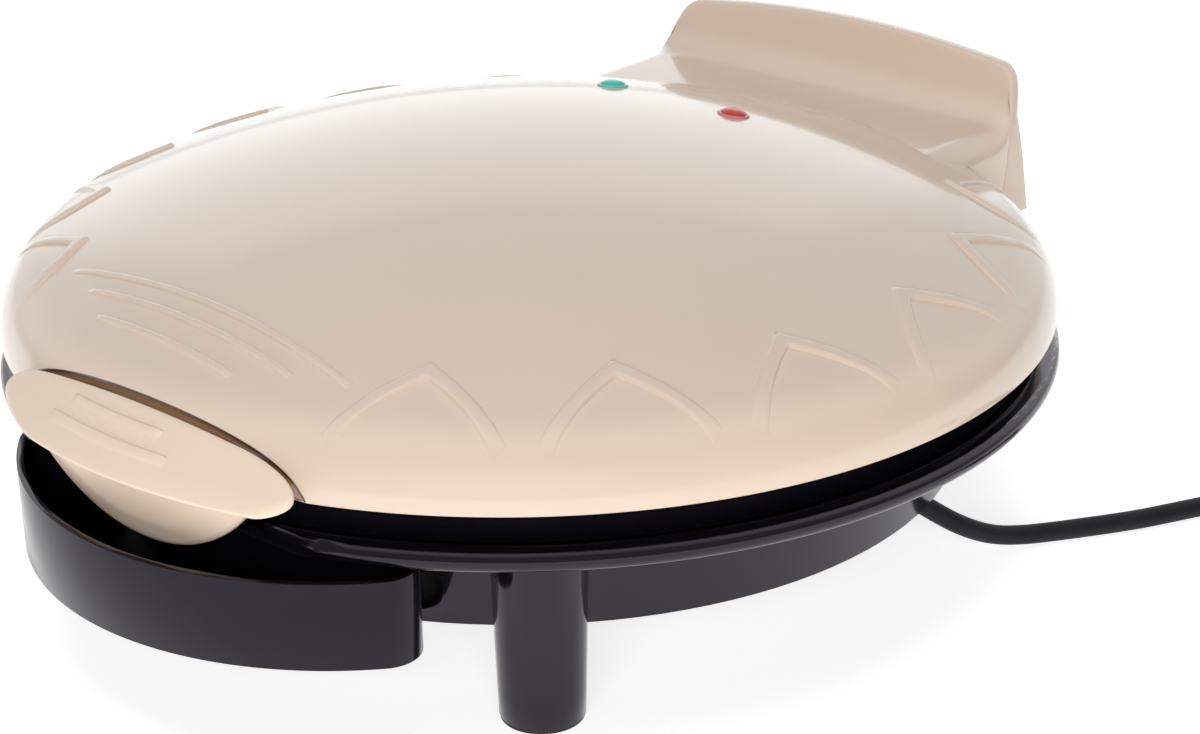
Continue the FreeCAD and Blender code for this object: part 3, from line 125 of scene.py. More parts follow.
# Rim of the base
RIM_RADIUS = 0.1738
RIM_TOP_Z = 0.0677
RIM_ROLL = 0.0030
RIM_CLOSE = 0.0003

# Raised ornament on the lid and the bill: a side's chevrons have a first angle, a pitch and a tip radius
CHEVRONS_PER_SIDE = 6
CHEVRONS_RIGHT = (30.6, 21.1, 0.1405)
CHEVRONS_LEFT = (-38.4, -19.2, 0.145)
CHEVRON_SPREAD = 8.4
CHEVRON_BOW = 0.0018
CHEVRON_FOOT_R = 0.166
CHEVRON_WIDTH = 0.0048
CHEVRON_MITRE = 5
CHEVRON_FADE, CHEVRON_EASE = 0.55, 0.8
RIDGE_HEIGHT = 0.0012
RIB_WIDTH = 0.0026
RIB_HEIGHT = 0.0008
RIB_BEND = 0.900
RIB_TURN = -3.8
RIB_FADE, RIB_EASE = 0.06, 0.5
LID_RIBS = ((0.1310, 0.0657), (0.1390, 0.0480), (0.1485, 0.0320))
BILL_RIBS = ((0.1726, 0.020, -0.005), (0.1782, 0.026, -0.004))
BILL_RIB_WIDTH = 0.0028
BILL_RIB_HEIGHT = 0.0009

# Section of a raised strip, from its middle to a side: shares of its half width and of its height
STRIP_HALF = ((0.4, 1.0), (0.66, 0.93), (0.86, 0.6), (1.0, 0.0), (1.25, -0.35))
STRIP_SECTION = [(-across, up) for across, up in reversed(STRIP_HALF)] + [(0.0, 1.0)] + list(STRIP_HALF)

# Tail behind the dome: a level shelf and an upright fin
TAIL_FRONT_Y = 0.110
TAIL_REAR_Y = 0.176
TAIL_ASIDE = -0.0025
TAIL_BASE_HALF = 0.085
BRACKET_RIGHT = 0.0805
TAIL_FOOT_Z = 0.0745
SHELF_HALF = 0.081
SHELF_Z = 0.1062
SHELF_ROUND = 0.010
FIN_FOOT_Y = 0.170
FIN_LEAN = 0.448
FIN_THICKNESS = 0.005
FIN_CORNER_HALF = 0.0735
FIN_CORNER_Z = 0.1242
FIN_MIDDLE_Z = 0.1293
FIN_CORNER_ROUND = 0.006
FIN_FILLET = 0.010
FIN_EDGE = 0.0014
FILLET_SHARE = 0.45
EDGE_SHARE = 0.3

# Latch
LIP_RADIUS = 0.1845
LIP_Z = 0.080
BILL_TOP_R = 0.1665
BILL_TOP_Z = 0.094
BILL_THICKNESS = 0.0025
BILL_HALF = 0.0619
LATCH_ASIDE = 0.0021
BILL_GAP = 0.0017
BILL_EDGE = 0.0017
BILL_BACK_SHARE = 0.45
BILL_EASE_START, BILL_EASE_RUN = 0.7, 0.3
BILL_TIP_SHARE = 0.3
BILL_TIP_RUN = 0.02
BILL_UNDER = 0.0006
BILL_ROLL = 0.0050
BILL_TIP_Y = 0.168
BILL_BACK_ROUND = (0.012, 0.024)
BILL_FRONT_ROUND = (0.030, 0.009)
TONGUE_Y = 0.1715
TONGUE_THICKNESS = 0.003
TONGUE_ROUND = 0.061
TONGUE_TIP_Z = 0.0534
TONGUE_BULGE = 0.0024
TONGUE_BORDER = 0.13
TONGUE_EASE = 1.4
TONGUE_EDGE = 0.0011
TONGUE_TUCK = 0.002
LATCH_PIN_Y = 0.1566
LATCH_PIN_Z = 0.087
LUG_X = 0.030
LUG_THICKNESS = 0.006
LUG_HEIGHT = 0.006
LUG_FRONT_Y = 0.1668
LUG_TAIL = 0.0058
BARB_HALF = 0.016
BARB_TOP_Z = 0.0602
BARB_THICKNESS = 0.004
BARB_END_Y = 0.158
BLOCK_EDGE = 0.0005
PEG_RADIUS = 0.0009
PEG_EDGE_SHARE = 0.6
PEG_LENGTH = 0.005
PEG_Y = 0.1519
PEG_Z = 0.0857

# Lamps
LAMP_X = 0.0267
LAMP_Y = 0.0742
LENS_RADIUS = 0.0056
LENS_CROWN = 0.0022

# Lenses: name, side, bright and dark colour, and how a lens's rim pales
LENSES = (
    ("green", -1, (0.07, 0.66, 0.56), (0.01, 0.30, 0.26)),
    ("red", 1, (0.74, 0.05, 0.04), (0.34, 0.008, 0.008)),
)
PALE_SHARE, PALE_LIFT = 0.6, 0.22

# Rim of a lens, from its foot inwards: shares of the radius, and heights
LENS_RIM = ((1.0, -0.003), (1.0, 0.0), (0.97, 0.0005), (0.9, 0.0007), (0.82, 0.0006), (0.78, 0.0007))

# Merging of points and rounding of the edges of copied nodes
MERGE = 1e-6
NODE_MERGE = 2e-6
FLAT_ANGLE = radians(0.3)
BEVEL_ANGLE = radians(30.0)
HOUSING_EDGE = 0.0006
RING_EDGE = 0.0005
BRACKET_EDGE = 0.0003

# How finely curved shapes are divided
LID_COLUMNS = 720
LID_ROWS = 60
FACE_ROWS = 8
INNER_ROWS = 20
INNER_LIP_STEPS = 3
ROUND_STEPS = 4
FLAT_STEPS = 20
CORNER_STEPS = 16
SIDE_STEPS = 12
SHELF_ROWS = 6
FILLET_STEPS = 8
FIN_ROWS = 4
CHEVRON_STEPS = 26
RIB_STEPS = 40
BILL_STEPS = 90
BILL_ROLL_STEPS = 8
BILL_ROWS = 12
BILL_RIB_STEPS = 30
TONGUE_COLUMNS = 64
TONGUE_ROWS = 40
LENS_COLUMNS = 64
LENS_STEPS = 10
BEVEL_STEPS = 2
RIM_ROLL_STEPS = 6

# Finish: tints and colours, and figures that several finishes share
WHITE = (1.0, 1.0, 1.0)
VIOLET = (0.90, 0.80, 1.0)
FINE_PEEL = 0.06
# Painted shade in the gap behind the latch: depths where it fades in, and where its near-black edge turns
# brown
GAP_FADE = (0.05, 0.18)
GAP_STOPS = (0.3, 0.75)
METAL_GRAIN = (900.0, 900.0, 60.0)
SPECK_PALE, SPECK_DEEP = (0.16, 0.16, 0.165), (0.022, 0.022, 0.024)
FLOOR_PALE, FLOOR_DEEP = (0.95, 0.95, 0.95), (0.93, 0.93, 0.93)

# Studio: brightness as seen in gloss, directions and the panel's reach as tangents
FLOOR_REACH = 6.0
FLOOR_GLOW = 0.72
ROOM_BRIGHT_WAY = (-0.40, 0.47, 0.79)
ROOM_FADE = (0.15, 0.6)
ROOM_DIM = 0.35
ROOM_BRIGHT = 1.12
PANEL_WAY = (-0.701, 0.713, 0.0)
PANEL_ACROSS = (0.713, 0.701, 0.0)
PANEL_HALF_WIDTH = 0.47
PANEL_TOP = 0.75
PANEL_SOFT = 0.12
PANEL_FACING = 0.05
PANEL_BRIGHT = 0.40

# Softboxes: name, place, size and brightness
SOFTBOX_AIM = (0, 0, 0.1)
SOFTBOXES = (
    ("front_softbox", (1.35, -1.75, 0.80), (1.6, 1.0), 5.9),
    ("back_softbox", (-1.1, 1.3, 0.9), (1.4, 1.0), 1.2),
    ("top_softbox", (0.0, -0.1, 2.0), (1.6, 1.6), 2.15),
)


# Small helpers for meshes


def placed(name, data):
    """Puts an object in the scene."""
    made = bpy.data.objects.new(name, data)
    bpy.context.scene.collection.objects.link(made)
    return made


def piece(name, mesh, material, body, stands_for=(), sharp=40):
    """Puts a finished mesh in the scene, smooth but for its sharp edges, on its body."""
    mesh.shade_smooth()
    mesh.set_sharp_from_angle(angle=radians(sharp))
    mesh.materials.clear()
    mesh.materials.append(material)
    made = placed(name, mesh)
    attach(made, body)
    if stands_for:
        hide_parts(*stands_for)


def mesh_of(name, points, faces):
    """Mesh of given points and faces."""
    mesh = bpy.data.meshes.new(name)
    mesh.from_pydata([tuple(p) for p in points], [], faces)
    return mesh


def copied(name, node):
    """Mesh copy of a hard node."""
    source = nodes[node].data
    return mesh_of(name, [v.co for v in source.vertices], [p.vertices[:] for p in source.polygons])


def opened(mesh, merge=MERGE):
    """A mesh in the making, from a mesh, with its doubles merged."""
    shape = bmesh.new()
    shape.from_mesh(mesh)
    bmesh.ops.remove_doubles(shape, verts=shape.verts, dist=merge)
    return shape


def written(shape, mesh):
    """Ends a mesh in the making."""
    shape.to_mesh(mesh)
    shape.free()
    return mesh


def open_edges(shape):
    """Edges with a face on one side only."""
    return [e for e in shape.edges if len(e.link_faces) == 1]


def cleaned(mesh, merge=MERGE):
    """Merges doubles, drops empty faces and turns all faces outwards."""
    shape = opened(mesh, merge)
    bmesh.ops.dissolve_degenerate(shape, edges=shape.edges, dist=merge)
    bmesh.ops.recalc_face_normals(shape, faces=shape.faces)
    return written(shape, mesh)


def woven(rows, closed=False):
    """Points and quads of a surface through rows of equally many points."""
    width = len(rows[0])
    points = [p for row in rows for p in row]
    faces = []
    for i in range(len(rows) - 1):
        for j in range(width if closed else width - 1):
            k = (j + 1) % width
            faces.append((i * width + j, i * width + k, (i + 1) * width + k, (i + 1) * width + j))
    return points, faces


def bent(start, corner, end, count):
    """Points of a curve that leaves start towards corner and arrives at end from it."""
    start, corner, end = Vector(start), Vector(corner), Vector(end)
    found = []
    for i in range(count + 1):
        t = i / count
        found.append(start * (1 - t) ** 2 + corner * 2 * t * (1 - t) + end * t**2)
    return found


def cut_right(shape, right):
    """Cuts off what lies to the right of a place and closes the cut."""
    whole = shape.verts[:] + shape.edges[:] + shape.faces[:]
    bmesh.ops.bisect_plane(shape, geom=whole, plane_co=(right, 0, 0), plane_no=(1, 0, 0), clear_outer=True)
    bmesh.ops.holes_fill(shape, edges=open_edges(shape), sides=0)


def rounded_off(shape, edges, width, steps=BEVEL_STEPS):
    """Rounds edges, by less where there is no room."""
    way = {"profile": 0.5, "affect": "EDGES", "clamp_overlap": True}
    bmesh.ops.bevel(shape, geom=edges, offset=width, segments=steps, **way)


def softened(name, node, width, material, rolled=None, right=None):
    """A copy of a hard node with its edges rounded, some by the rim's roll, which stands for the node."""
    mesh = copied(name, node)
    shape = opened(mesh, NODE_MERGE)
    if right is not None:
        cut_right(shape, right)
    bmesh.ops.dissolve_limit(shape, angle_limit=FLAT_ANGLE, verts=shape.verts, edges=shape.edges)
    if rolled:
        edges = [e for e in shape.edges if all(rolled(v.co) for v in e.verts)]
        rounded_off(shape, edges, RIM_ROLL, RIM_ROLL_STEPS)
    edges = [e for e in shape.edges if len(e.link_faces) == 2 and e.calc_face_angle(0) > BEVEL_ANGLE]
    rounded_off(shape, edges, width)
    piece(name, written(shape, mesh), material, nodes[node]["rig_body"], (node,), sharp=35)


def on_rim_edge(place):
    """Whether a point lies on the outer top edge of the base's rim."""
    aside = abs(hypot(place.x, place.y) - RIM_RADIUS)
    return aside < RIM_CLOSE and abs(place.z - RIM_TOP_Z) < RIM_CLOSE


# Materials, worked out from object coordinates, and for the dome also from its gap depth, which paints shade
# into the gap behind the latch


def start_material(name):
    """A new material, its shader and where a point lies on its object."""
    material = bpy.data.materials.new(name)
    material.use_nodes = True
    tree = material.node_tree
    where = tree.nodes.new("ShaderNodeTexCoord").outputs["Object"]
    return material, tree.nodes["Principled BSDF"], where


def fill(node, values):
    """Gives a node's inputs, by name or number, a value or a link from another node."""
    for key, value in values.items():
        if isinstance(value, bpy.types.NodeSocket):
            node.id_data.links.new(value, node.inputs[key])
        else:
            node.inputs[key].default_value = value


def add(tree, kind, values, **settings):
    """Adds a node to a tree, with its settings and its inputs."""
    node = tree.nodes.new(kind)
    for key, value in settings.items():
        setattr(node, key, value)
    fill(node, values)
    return node


def noise(where, scale, detail=3.0, rough=0.55):
    """Cloudy pattern from 0 to 1."""
    values = {"Vector": where, "Scale": scale, "Detail": detail, "Roughness": rough}
    return add(where.id_data, "ShaderNodeTexNoise", values).outputs["Fac"]


def ramp(value, stops):
    """Colour ramp through (position, colour) stops."""
    made = add(value.id_data, "ShaderNodeValToRGB", {"Fac": value})
    elements = made.color_ramp.elements
    while len(elements) < len(stops):
        elements.new(0.5)
    for element, (position, colour) in zip(elements, stops):
        element.position = position
        element.color = (*colour, 1.0)
    return made.outputs["Color"]


def spread(value, low, high, start=0.3, stop=0.7, kind="LINEAR"):
    """A value spread from low to high while its source goes from start to stop."""
    values = {"Value": value, "From Min": start, "From Max": stop, "To Min": low, "To Max": high}
    return add(value.id_data, "ShaderNodeMapRange", values, interpolation_type=kind).outputs["Result"]


def bump(shader, height, depth, under=None):
    """Raises a shader's surface, on top of the bump under it."""
    values = {"Height": height, "Distance": depth}
    if under is not None:
        values["Normal"] = under
    raised = add(shader.id_data, "ShaderNodeBump", values).outputs["Normal"]
    fill(shader, {"Normal": raised})
    return raised


def moulded_plastic(name, pale, deep, gloss, peel, coat=0.0, tint=WHITE, bend=1.5):
    """Moulded plastic: slow colour drift, faint handling marks and a slight peel."""
    material, shader, where = start_material(name)
    slow = bump(shader, noise(where, scale=60.0, detail=1.0), peel)
    bump(shader, noise(where, scale=1400.0, detail=2.0), peel * FINE_PEEL, slow)
    fill(shader, {
        "Base Color": ramp(noise(where, scale=9.0, detail=2.0), ((0.3, deep), (0.7, pale))),
        "Roughness": spread(noise(where, scale=140.0, detail=5.0, rough=0.7), *gloss),
        "IOR": bend,
        "Specular Tint": (*tint, 1.0),
        "Coat Weight": coat,
        "Coat Roughness": 0.05,
    })
    return material


def painted_gap_shade(name, plain, edge, deep):
    """Copy of a plastic with painted shade where the lid's front face drops behind the latch: a near-black
    line just under its top edge, brown further down.
    """
    material = plain.copy()
    material.name = name
    tree = material.node_tree
    shader = tree.nodes["Principled BSDF"]
    depth = add(tree, "ShaderNodeAttribute", {}, attribute_name="gap_shade").outputs["Fac"]
    colours = {
        "Factor": spread(depth, 0.0, 1.0, *GAP_FADE),
        "A": shader.inputs["Base Color"].links[0].from_socket,
        "B": ramp(depth, tuple(zip(GAP_STOPS, (edge, deep)))),
    }
    blend = add(tree, "ShaderNodeMix", colours, data_type="RGBA")
    fill(shader, {"Base Color": blend.outputs["Result"]})
    return material


def worn_metal(name, pale, deep, gloss):
    """Metal with fine drawn lines and a slow drift of tarnish."""
    material, shader, where = start_material(name)
    stretch = add(shader.id_data, "ShaderNodeMapping", {"Vector": where, "Scale": METAL_GRAIN})
    lines = noise(stretch.outputs["Vector"], scale=1.0, detail=4.0)
    bump(shader, lines, depth=0.00002)
    fill(shader, {
        "Base Color": ramp(noise(where, scale=35.0), ((0.35, deep), (0.65, pale))),
        "Roughness": spread(lines, *gloss),
        "Metallic": 1.0,
    })
    return material


def rubber(name, pale, deep):
    """Matte moulded rubber with a fine dull grain."""
    material, shader, where = start_material(name)
    grain = noise(where, scale=2200.0)
    bump(shader, grain, depth=0.00004)
    fill(shader, {
        "Base Color": ramp(noise(where, scale=60.0), ((0.35, deep), (0.65, pale))),
        "Roughness": spread(grain, 0.5, 0.68),
        "IOR": 1.34,
    })
    return material


def coated_plate(name):
    """Dark non-stick coating with fine pale specks."""
    material, shader, where = start_material(name)
    specks = add(shader.id_data, "ShaderNodeTexVoronoi", {"Vector": where, "Scale": 900.0})
    grain = noise(where, scale=700.0)
    bump(shader, grain, depth=0.00005)
    fill(shader, {
        "Base Color": ramp(specks.outputs["Distance"], ((0.08, SPECK_PALE), (0.2, SPECK_DEEP))),
        "Roughness": spread(grain, 0.3, 0.46),
    })
    return material


def clear_lens(name, centre, bright, dark):
    """Tinted lens in rings: dark in its middle, then bright, a dark line and a pale rim."""
    material, shader, where = start_material(name)
    away = add(shader.id_data, "ShaderNodeVectorMath", {0: where, 1: centre}, operation="DISTANCE")
    rings = spread(away.outputs["Value"], 0.0, 1.0, 0.0, LENS_RADIUS)
    pale = tuple(PALE_SHARE * channel + PALE_LIFT for channel in bright)
    turns = (0.0, 0.3, 0.45, 0.78, 0.84, 0.92, 1.0)
    colours = (dark, dark, bright, bright, dark, pale, pale)
    fill(shader, {
        "Base Color": ramp(rings, tuple(zip(turns, colours))),
        "Roughness": spread(noise(where, scale=500.0), 0.04, 0.1),
        "IOR": 1.3,
        "Coat Weight": 0.1,
        "Coat Roughness": 0.03,
        "Subsurface Weight": 0.25,
        "Subsurface Radius": (0.002, 0.002, 0.002),
    })
    return material


cream = moulded_plastic(
    "cream_gloss", (0.80, 0.64, 0.515), (0.78, 0.62, 0.495), gloss=(0.14, 0.2), peel=0.00004, coat=0.5
)
# The dome's cream with painted shade on its front face behind the latch: a near-black line under the top
# edge, then brown.
dome_cream_with_painted_shade = painted_gap_shade("dome_cream_with_painted_shade", cream, edge=(0.05, 0.025, 0.012), deep=(0.36, 0.20, 0.11))
latch_cream = moulded_plastic(
    "latch_cream", (0.90, 0.725, 0.575), (0.89, 0.715, 0.567), gloss=(0.28, 0.3), peel=0.000002, coat=0.05
)
black = moulded_plastic(
    "black_gloss", (0.0045, 0.004, 0.0065), (0.003, 0.0028, 0.0045),
    gloss=(0.08, 0.16), peel=0.00004, tint=VIOLET,
)
tray_black = moulded_plastic(
    "tray_black", (0.006, 0.0055, 0.0085), (0.0045, 0.004, 0.0065),
    gloss=(0.12, 0.2), peel=0.00004, tint=VIOLET, bend=1.38,
)
inner_black = moulded_plastic(
    "inner_black", (0.03, 0.03, 0.03), (0.02, 0.02, 0.02), gloss=(0.4, 0.55), peel=0.00005
)
ceramic = moulded_plastic(
    "white_ceramic", (0.8, 0.79, 0.75), (0.72, 0.71, 0.67), gloss=(0.35, 0.5), peel=0.00008
)
lamp_glass = moulded_plastic(
    "lamp_glass", (0.75, 0.72, 0.68), (0.68, 0.64, 0.6), gloss=(0.08, 0.14), peel=0.00002, coat=0.3
)
painted_steel = moulded_plastic(
    "painted_steel", (0.02, 0.02, 0.022), (0.013, 0.013, 0.014), gloss=(0.3, 0.42), peel=0.00008
)
steel = worn_metal("bright_steel", (0.62, 0.62, 0.62), (0.5, 0.5, 0.51), gloss=(0.22, 0.36))
zinc = worn_metal("zinc_plate", (0.55, 0.55, 0.53), (0.42, 0.42, 0.42), gloss=(0.3, 0.45))
dark_steel = worn_metal("dark_heater_steel", (0.12, 0.11, 0.11), (0.06, 0.055, 0.055), gloss=(0.35, 0.5))
brass = worn_metal("pin_brass", (0.72, 0.56, 0.28), (0.6, 0.45, 0.2), gloss=(0.2, 0.34))
plate_coating = coated_plate("plate_coating")
pad_rubber = rubber("pad_rubber", (0.035, 0.035, 0.037), (0.022, 0.022, 0.024))
cord_rubber = rubber("cord_rubber", (0.010, 0.009, 0.012), (0.006, 0.0055, 0.008))


# Mains lead


def coil_points(start, heading):
    """Points of a two-layer coil that spirals in, climbs and spirals out, clockwise."""
    outer = COIL_RADIUS + COIL_STEP * TURNS_IN / 2
    inner = outer - COIL_STEP * TURNS_IN
    rate = COIL_STEP / (2 * pi)
    bearing = atan2(heading.y, heading.x) + pi / 2 + atan2(rate, outer)
    run = start + heading * CORD_DIAMETER
    centre = run - Vector((outer * cos(bearing), outer * sin(bearing), 0))
    found = [start]
    steps_in = TURNS_IN * POINTS_PER_TURN
    steps_turn = POINTS_PER_TURN // 2
    steps_out = int(TURNS_OUT * POINTS_PER_TURN)
    for i in range(steps_in + steps_turn + steps_out + 1):
        angle = bearing - 2 * pi * i / POINTS_PER_TURN
        if i <= steps_in:
            radius, climb = outer - COIL_STEP * i / POINTS_PER_TURN, 0.0
        elif i < steps_in + steps_turn:
            share = (i - steps_in) / steps_turn
            radius = inner - COIL_STEP / 8 * sin(pi * share)
            climb = COIL_LAYER * (1 - cos(pi * share)) / 2
        else:
            radius = inner + COIL_STEP * (i - steps_in - steps_turn) / POINTS_PER_TURN
            climb = COIL_LAYER
        found.append(centre + Vector((radius * cos(angle), radius * sin(angle), climb)))
    way = found[-1] - found[-2]
    return found, way.normalized()


def cord_points():
    """All control points from the gland to the plug."""
    points = [Vector(p) for p in CORD_ROUTE]
    run = points[-1] - points[-2]
    heading = Vector((run.x, run.y, 0)).normalized()
    coil, way = coil_points(points[-1] + heading * COIL_RUN_IN, heading)
    end = coil[-1] + way * CORD_DIAMETER
    left = Vector((0, 0, 1)).cross(way)
    rise = PLUG_RADIUS - end.z
    lead = [end]
    for forward, aside, risen in LEAD_STEPS:
        lead.append(end + way * forward + left * aside + Vector((0, 0, rise * risen)))
    return points + coil + lead


def mains_lead():
    """The whole lead as one unbroken run."""
    curve = bpy.data.curves.new("mains_lead", "CURVE")
    curve.dimensions = "3D"
    spline = curve.splines.new("NURBS")
    points = cord_points()
    spline.points.add(len(points) - 1)
    for point, place in zip(spline.points, points):
        point.co = (*place, 1.0)
    spline.order_u = 3
    spline.use_endpoint_u = True
    spline.resolution_u = 6
    curve.bevel_depth = CORD_DIAMETER / 2
    curve.bevel_resolution = 5
    curve.use_fill_caps = True
    curve.materials.append(cord_rubber)
    lead = placed("mains_lead", curve)
    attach(lead, "base")
    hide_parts("power_cord", "cord_coil", "plug_lead")
    return lead


# Lid


def lid_point(way):
    """Radius, height and the normal's lean on the dome's outline, a given way from its top."""
    if way <= CROWN_LENGTH:
        lean = way / CROWN_RADIUS
        return CROWN_RADIUS * sin(lean), CROWN_Z + CROWN_RADIUS * cos(lean), lean
    lean = CROWN_SWEEP + (way - CROWN_LENGTH) / LID_SHOULDER
    return SHOULDER_R + LID_SHOULDER * sin(lean), LID_EDGE_Z + LID_SHOULDER * cos(lean), lean


def dome_height(radius):
    """Height of the dome's outer face and the lean of its normal at a radius."""
    if radius <= CROWN_RADIUS * sin(CROWN_SWEEP):
        lean = asin(radius / CROWN_RADIUS)
        return CROWN_Z + CROWN_RADIUS * cos(lean), lean
    lean = asin(min(1.0, (radius - SHOULDER_R) / LID_SHOULDER))
    return LID_EDGE_Z + LID_SHOULDER * cos(lean), lean


def on_dome(x, y, lift=0.0):
    """Point above the dome at x, y, lifted along the dome's normal."""
    radius = hypot(x, y)
    height, lean = dome_height(radius)
    out = Vector((x, y, 0)) / max(radius, 1e-9) * sin(lean) + Vector((0, 0, cos(lean)))
    return Vector((x, y, height)) + out * lift


def face_radius(turn):
    """How far out the flat front face lies, turn radians from the front."""
    centre = FACE_BEND - FACE_Y
    lean = -centre * cos(turn)
    return lean + sqrt(lean**2 + FACE_BEND**2 - centre**2)


def face_depth(place):
    """How deep a point of the flat front face lies below its top edge, from 0 to 1."""
    radius, turn = hypot(place.x, place.y), atan2(place.x, -place.y)
    if abs(turn) > FACE_TURN or abs(radius - face_radius(turn)) > FACE_CLOSE:
        return 0.0
    return min(1.0, max(0.0, (dome_height(radius)[0] - place.z) / GAP_DEPTH))


def lid_outline(turn):
    """Closed outline of the dome's wall at one turn about its axis: outer face, lip, inner face."""
    limit = face_radius(turn) if abs(turn) < FACE_TURN else LID_RADIUS * 2
    rim = min(LID_RADIUS, limit)
    inner_rim = rim - LID_WALL
    lip_z = LID_EDGE_Z + LID_LIP
    edge_way = PROFILE_LENGTH - EDGE_MARGIN
    if limit < LID_RADIUS:
        lean = asin((limit - SHOULDER_R) / LID_SHOULDER)
        edge_way = min(edge_way, CROWN_LENGTH + LID_SHOULDER * (lean - CROWN_SWEEP))

    def outer(way):
        radius, height = lid_point(way)[:2]
        return Vector((min(radius, limit), height))

    found = [outer((edge_way - 2 * FACE_EDGE) * i / LID_ROWS) for i in range(1, LID_ROWS + 1)]
    start = edge_way + FACE_EDGE
    found += bent(outer(edge_way - FACE_EDGE), outer(edge_way), outer(start), ROUND_STEPS)
    for i in range(1, FACE_ROWS):
        share = i / FACE_ROWS
        point = outer(start + (PROFILE_LENGTH - start) * share**2)
        found.append(Vector((point.x, max(point.y, LID_EDGE_Z + LID_LIP * (1 - share)))))
    found += bent((rim, lip_z), (rim, LID_EDGE_Z), (rim - LID_LIP, LID_EDGE_Z), ROUND_STEPS)
    inner_edge = (inner_rim + LID_LIP, LID_EDGE_Z)
    found += bent(inner_edge, (inner_rim, LID_EDGE_Z), (inner_rim, lip_z), INNER_LIP_STEPS)
    for i in range(1, INNER_ROWS):
        radius, height, lean = lid_point(PROFILE_LENGTH * (1 - i / INNER_ROWS))
        inward = Vector((radius - LID_WALL * sin(lean), height - LID_WALL * cos(lean)))
        found.append(Vector((min(inward.x, limit - LID_WALL), max(inward.y, lip_z))))
    return found


def lid_dome():
    """Thin dome with a flat front face, whose depth is kept on its points to paint shade into the gap behind
    the latch.
    """
    points, faces = [], []
    for i in range(LID_COLUMNS):
        turn = 2 * pi * i / LID_COLUMNS
        if turn > pi:
            turn -= 2 * pi
        side, front = sin(turn), -cos(turn)
        points += [(p.x * side, p.x * front, p.y) for p in lid_outline(turn)]
    top = len(points)
    count = top // LID_COLUMNS
    columns = [(i * count, (i + 1) % LID_COLUMNS * count) for i in range(LID_COLUMNS)]
    for here, after in columns:
        faces += [(here + j, here + j + 1, after + j + 1, after + j) for j in range(count - 1)]
    points += [(0, 0, LID_APEX_Z), (0, 0, LID_APEX_Z - LID_WALL)]
    for here, after in columns:
        faces.append((top, here, after))
        faces.append((top + 1, after + count - 1, here + count - 1))
    mesh = cleaned(mesh_of("lid_dome", points, faces))
    # Depth of each point below the face's top edge, which sets the painted shade in the gap
    shade = mesh.attributes.new("gap_shade", "FLOAT", "POINT")
    for vertex, value in zip(mesh.vertices, shade.data):
        value.value = face_depth(vertex.co)
    return mesh


def shelf_section():
    """Right half of the housing's section, from the middle of the shelf down to the lid's edge."""
    slope = Vector((TAIL_BASE_HALF - SHELF_HALF, TAIL_FOOT_Z - SHELF_Z)).normalized()
    turn = acos(slope.x)
    reach = SHELF_ROUND * tan(turn / 2)
    found = [Vector(((SHELF_HALF - reach) * i / FLAT_STEPS, SHELF_Z)) for i in range(FLAT_STEPS)]
    centre = Vector((SHELF_HALF - reach, SHELF_Z - SHELF_ROUND))
    for i in range(CORNER_STEPS + 1):
        a = pi / 2 - turn * i / CORNER_STEPS
        found.append(centre + Vector((cos(a), sin(a))) * SHELF_ROUND)
    end = Vector((SHELF_HALF, SHELF_Z)) + slope * reach
    foot = Vector((TAIL_BASE_HALF, TAIL_FOOT_Z))
    return found + [end.lerp(foot, i / SIDE_STEPS) for i in range(1, SIDE_STEPS + 1)]


def fin_outline():
    """Right half of the fin's outline: arched top, rounded corner, side down to the lid's edge."""
    rise = FIN_MIDDLE_Z - FIN_CORNER_Z
    bend = (FIN_CORNER_HALF**2 + rise**2) / (2 * rise)
    arch_half = FIN_CORNER_HALF - FIN_CORNER_ROUND

    def arch(x):
        return Vector((x, FIN_MIDDLE_Z - bend + sqrt(bend**2 - x**2)))

    found = [arch(arch_half * i / FLAT_STEPS) for i in range(FLAT_STEPS)]
    corner = Vector((FIN_CORNER_HALF, FIN_CORNER_Z))
    waist = Vector((SHELF_HALF, SHELF_Z))
    end = corner + (waist - corner).normalized() * FIN_CORNER_ROUND
    found += bent(arch(arch_half), corner, end, CORNER_STEPS)
    return found + bent(end, waist, (TAIL_BASE_HALF, TAIL_FOOT_Z), SIDE_STEPS)[1:]


def fin_front(z):
    """How far back the fin's front lies at a height."""
    return FIN_FOOT_Y + FIN_LEAN * (z - SHELF_Z)


def fin_back(z):
    """How far back the fin's back lies at a height."""
    return max(TAIL_REAR_Y, fin_front(z) + FIN_THICKNESS)


def at(flat, y):
    """Point of an upright outline, a given way back."""
    return Vector((flat.x, y, flat.y))


def tail_profile(shelf, fin, inward):
    """Points of the tail's skin through one point of the shelf's section and one of the fin's outline."""
    across = fin - shelf
    fillet = min(FIN_FILLET, FILLET_SHARE * across.length)
    edge = min(FIN_EDGE, EDGE_SHARE * across.length)
    foot_y = fin_front(shelf.y)

    found = [Vector((shelf.x, TAIL_FRONT_Y, TAIL_FOOT_Z))]
    run = foot_y - fillet - TAIL_FRONT_Y
    found += [at(shelf, TAIL_FRONT_Y + run * i / SHELF_ROWS) for i in range(SHELF_ROWS)]
    toward = across.normalized() if across.length > 1e-9 else Vector((0, 1))
    rise = shelf + toward * fillet
    found += bent(at(shelf, foot_y - fillet), at(shelf, foot_y), at(rise, fin_front(rise.y)), FILLET_STEPS)
    low = fin + inward * edge
    for i in range(1, FIN_ROWS + 1):
        flat = rise.lerp(low, i / FIN_ROWS)
        found.append(at(flat, fin_front(flat.y)))
    front_y, back_y = fin_front(fin.y), fin_back(fin.y)
    found += bent(at(low, fin_front(low.y)), at(fin, front_y), at(fin, front_y + edge), ROUND_STEPS)[1:]
    back = fin + inward * FIN_EDGE
    found += bent(at(fin, back_y - FIN_EDGE), at(fin, back_y), at(back, fin_back(back.y)), ROUND_STEPS)
    drop = Vector((fin.x, TAIL_FOOT_Z))
    for i in range(1, SIDE_STEPS + 1):
        flat = back.lerp(drop, i / SIDE_STEPS)
        found.append(at(flat, fin_back(flat.y)))
    return found


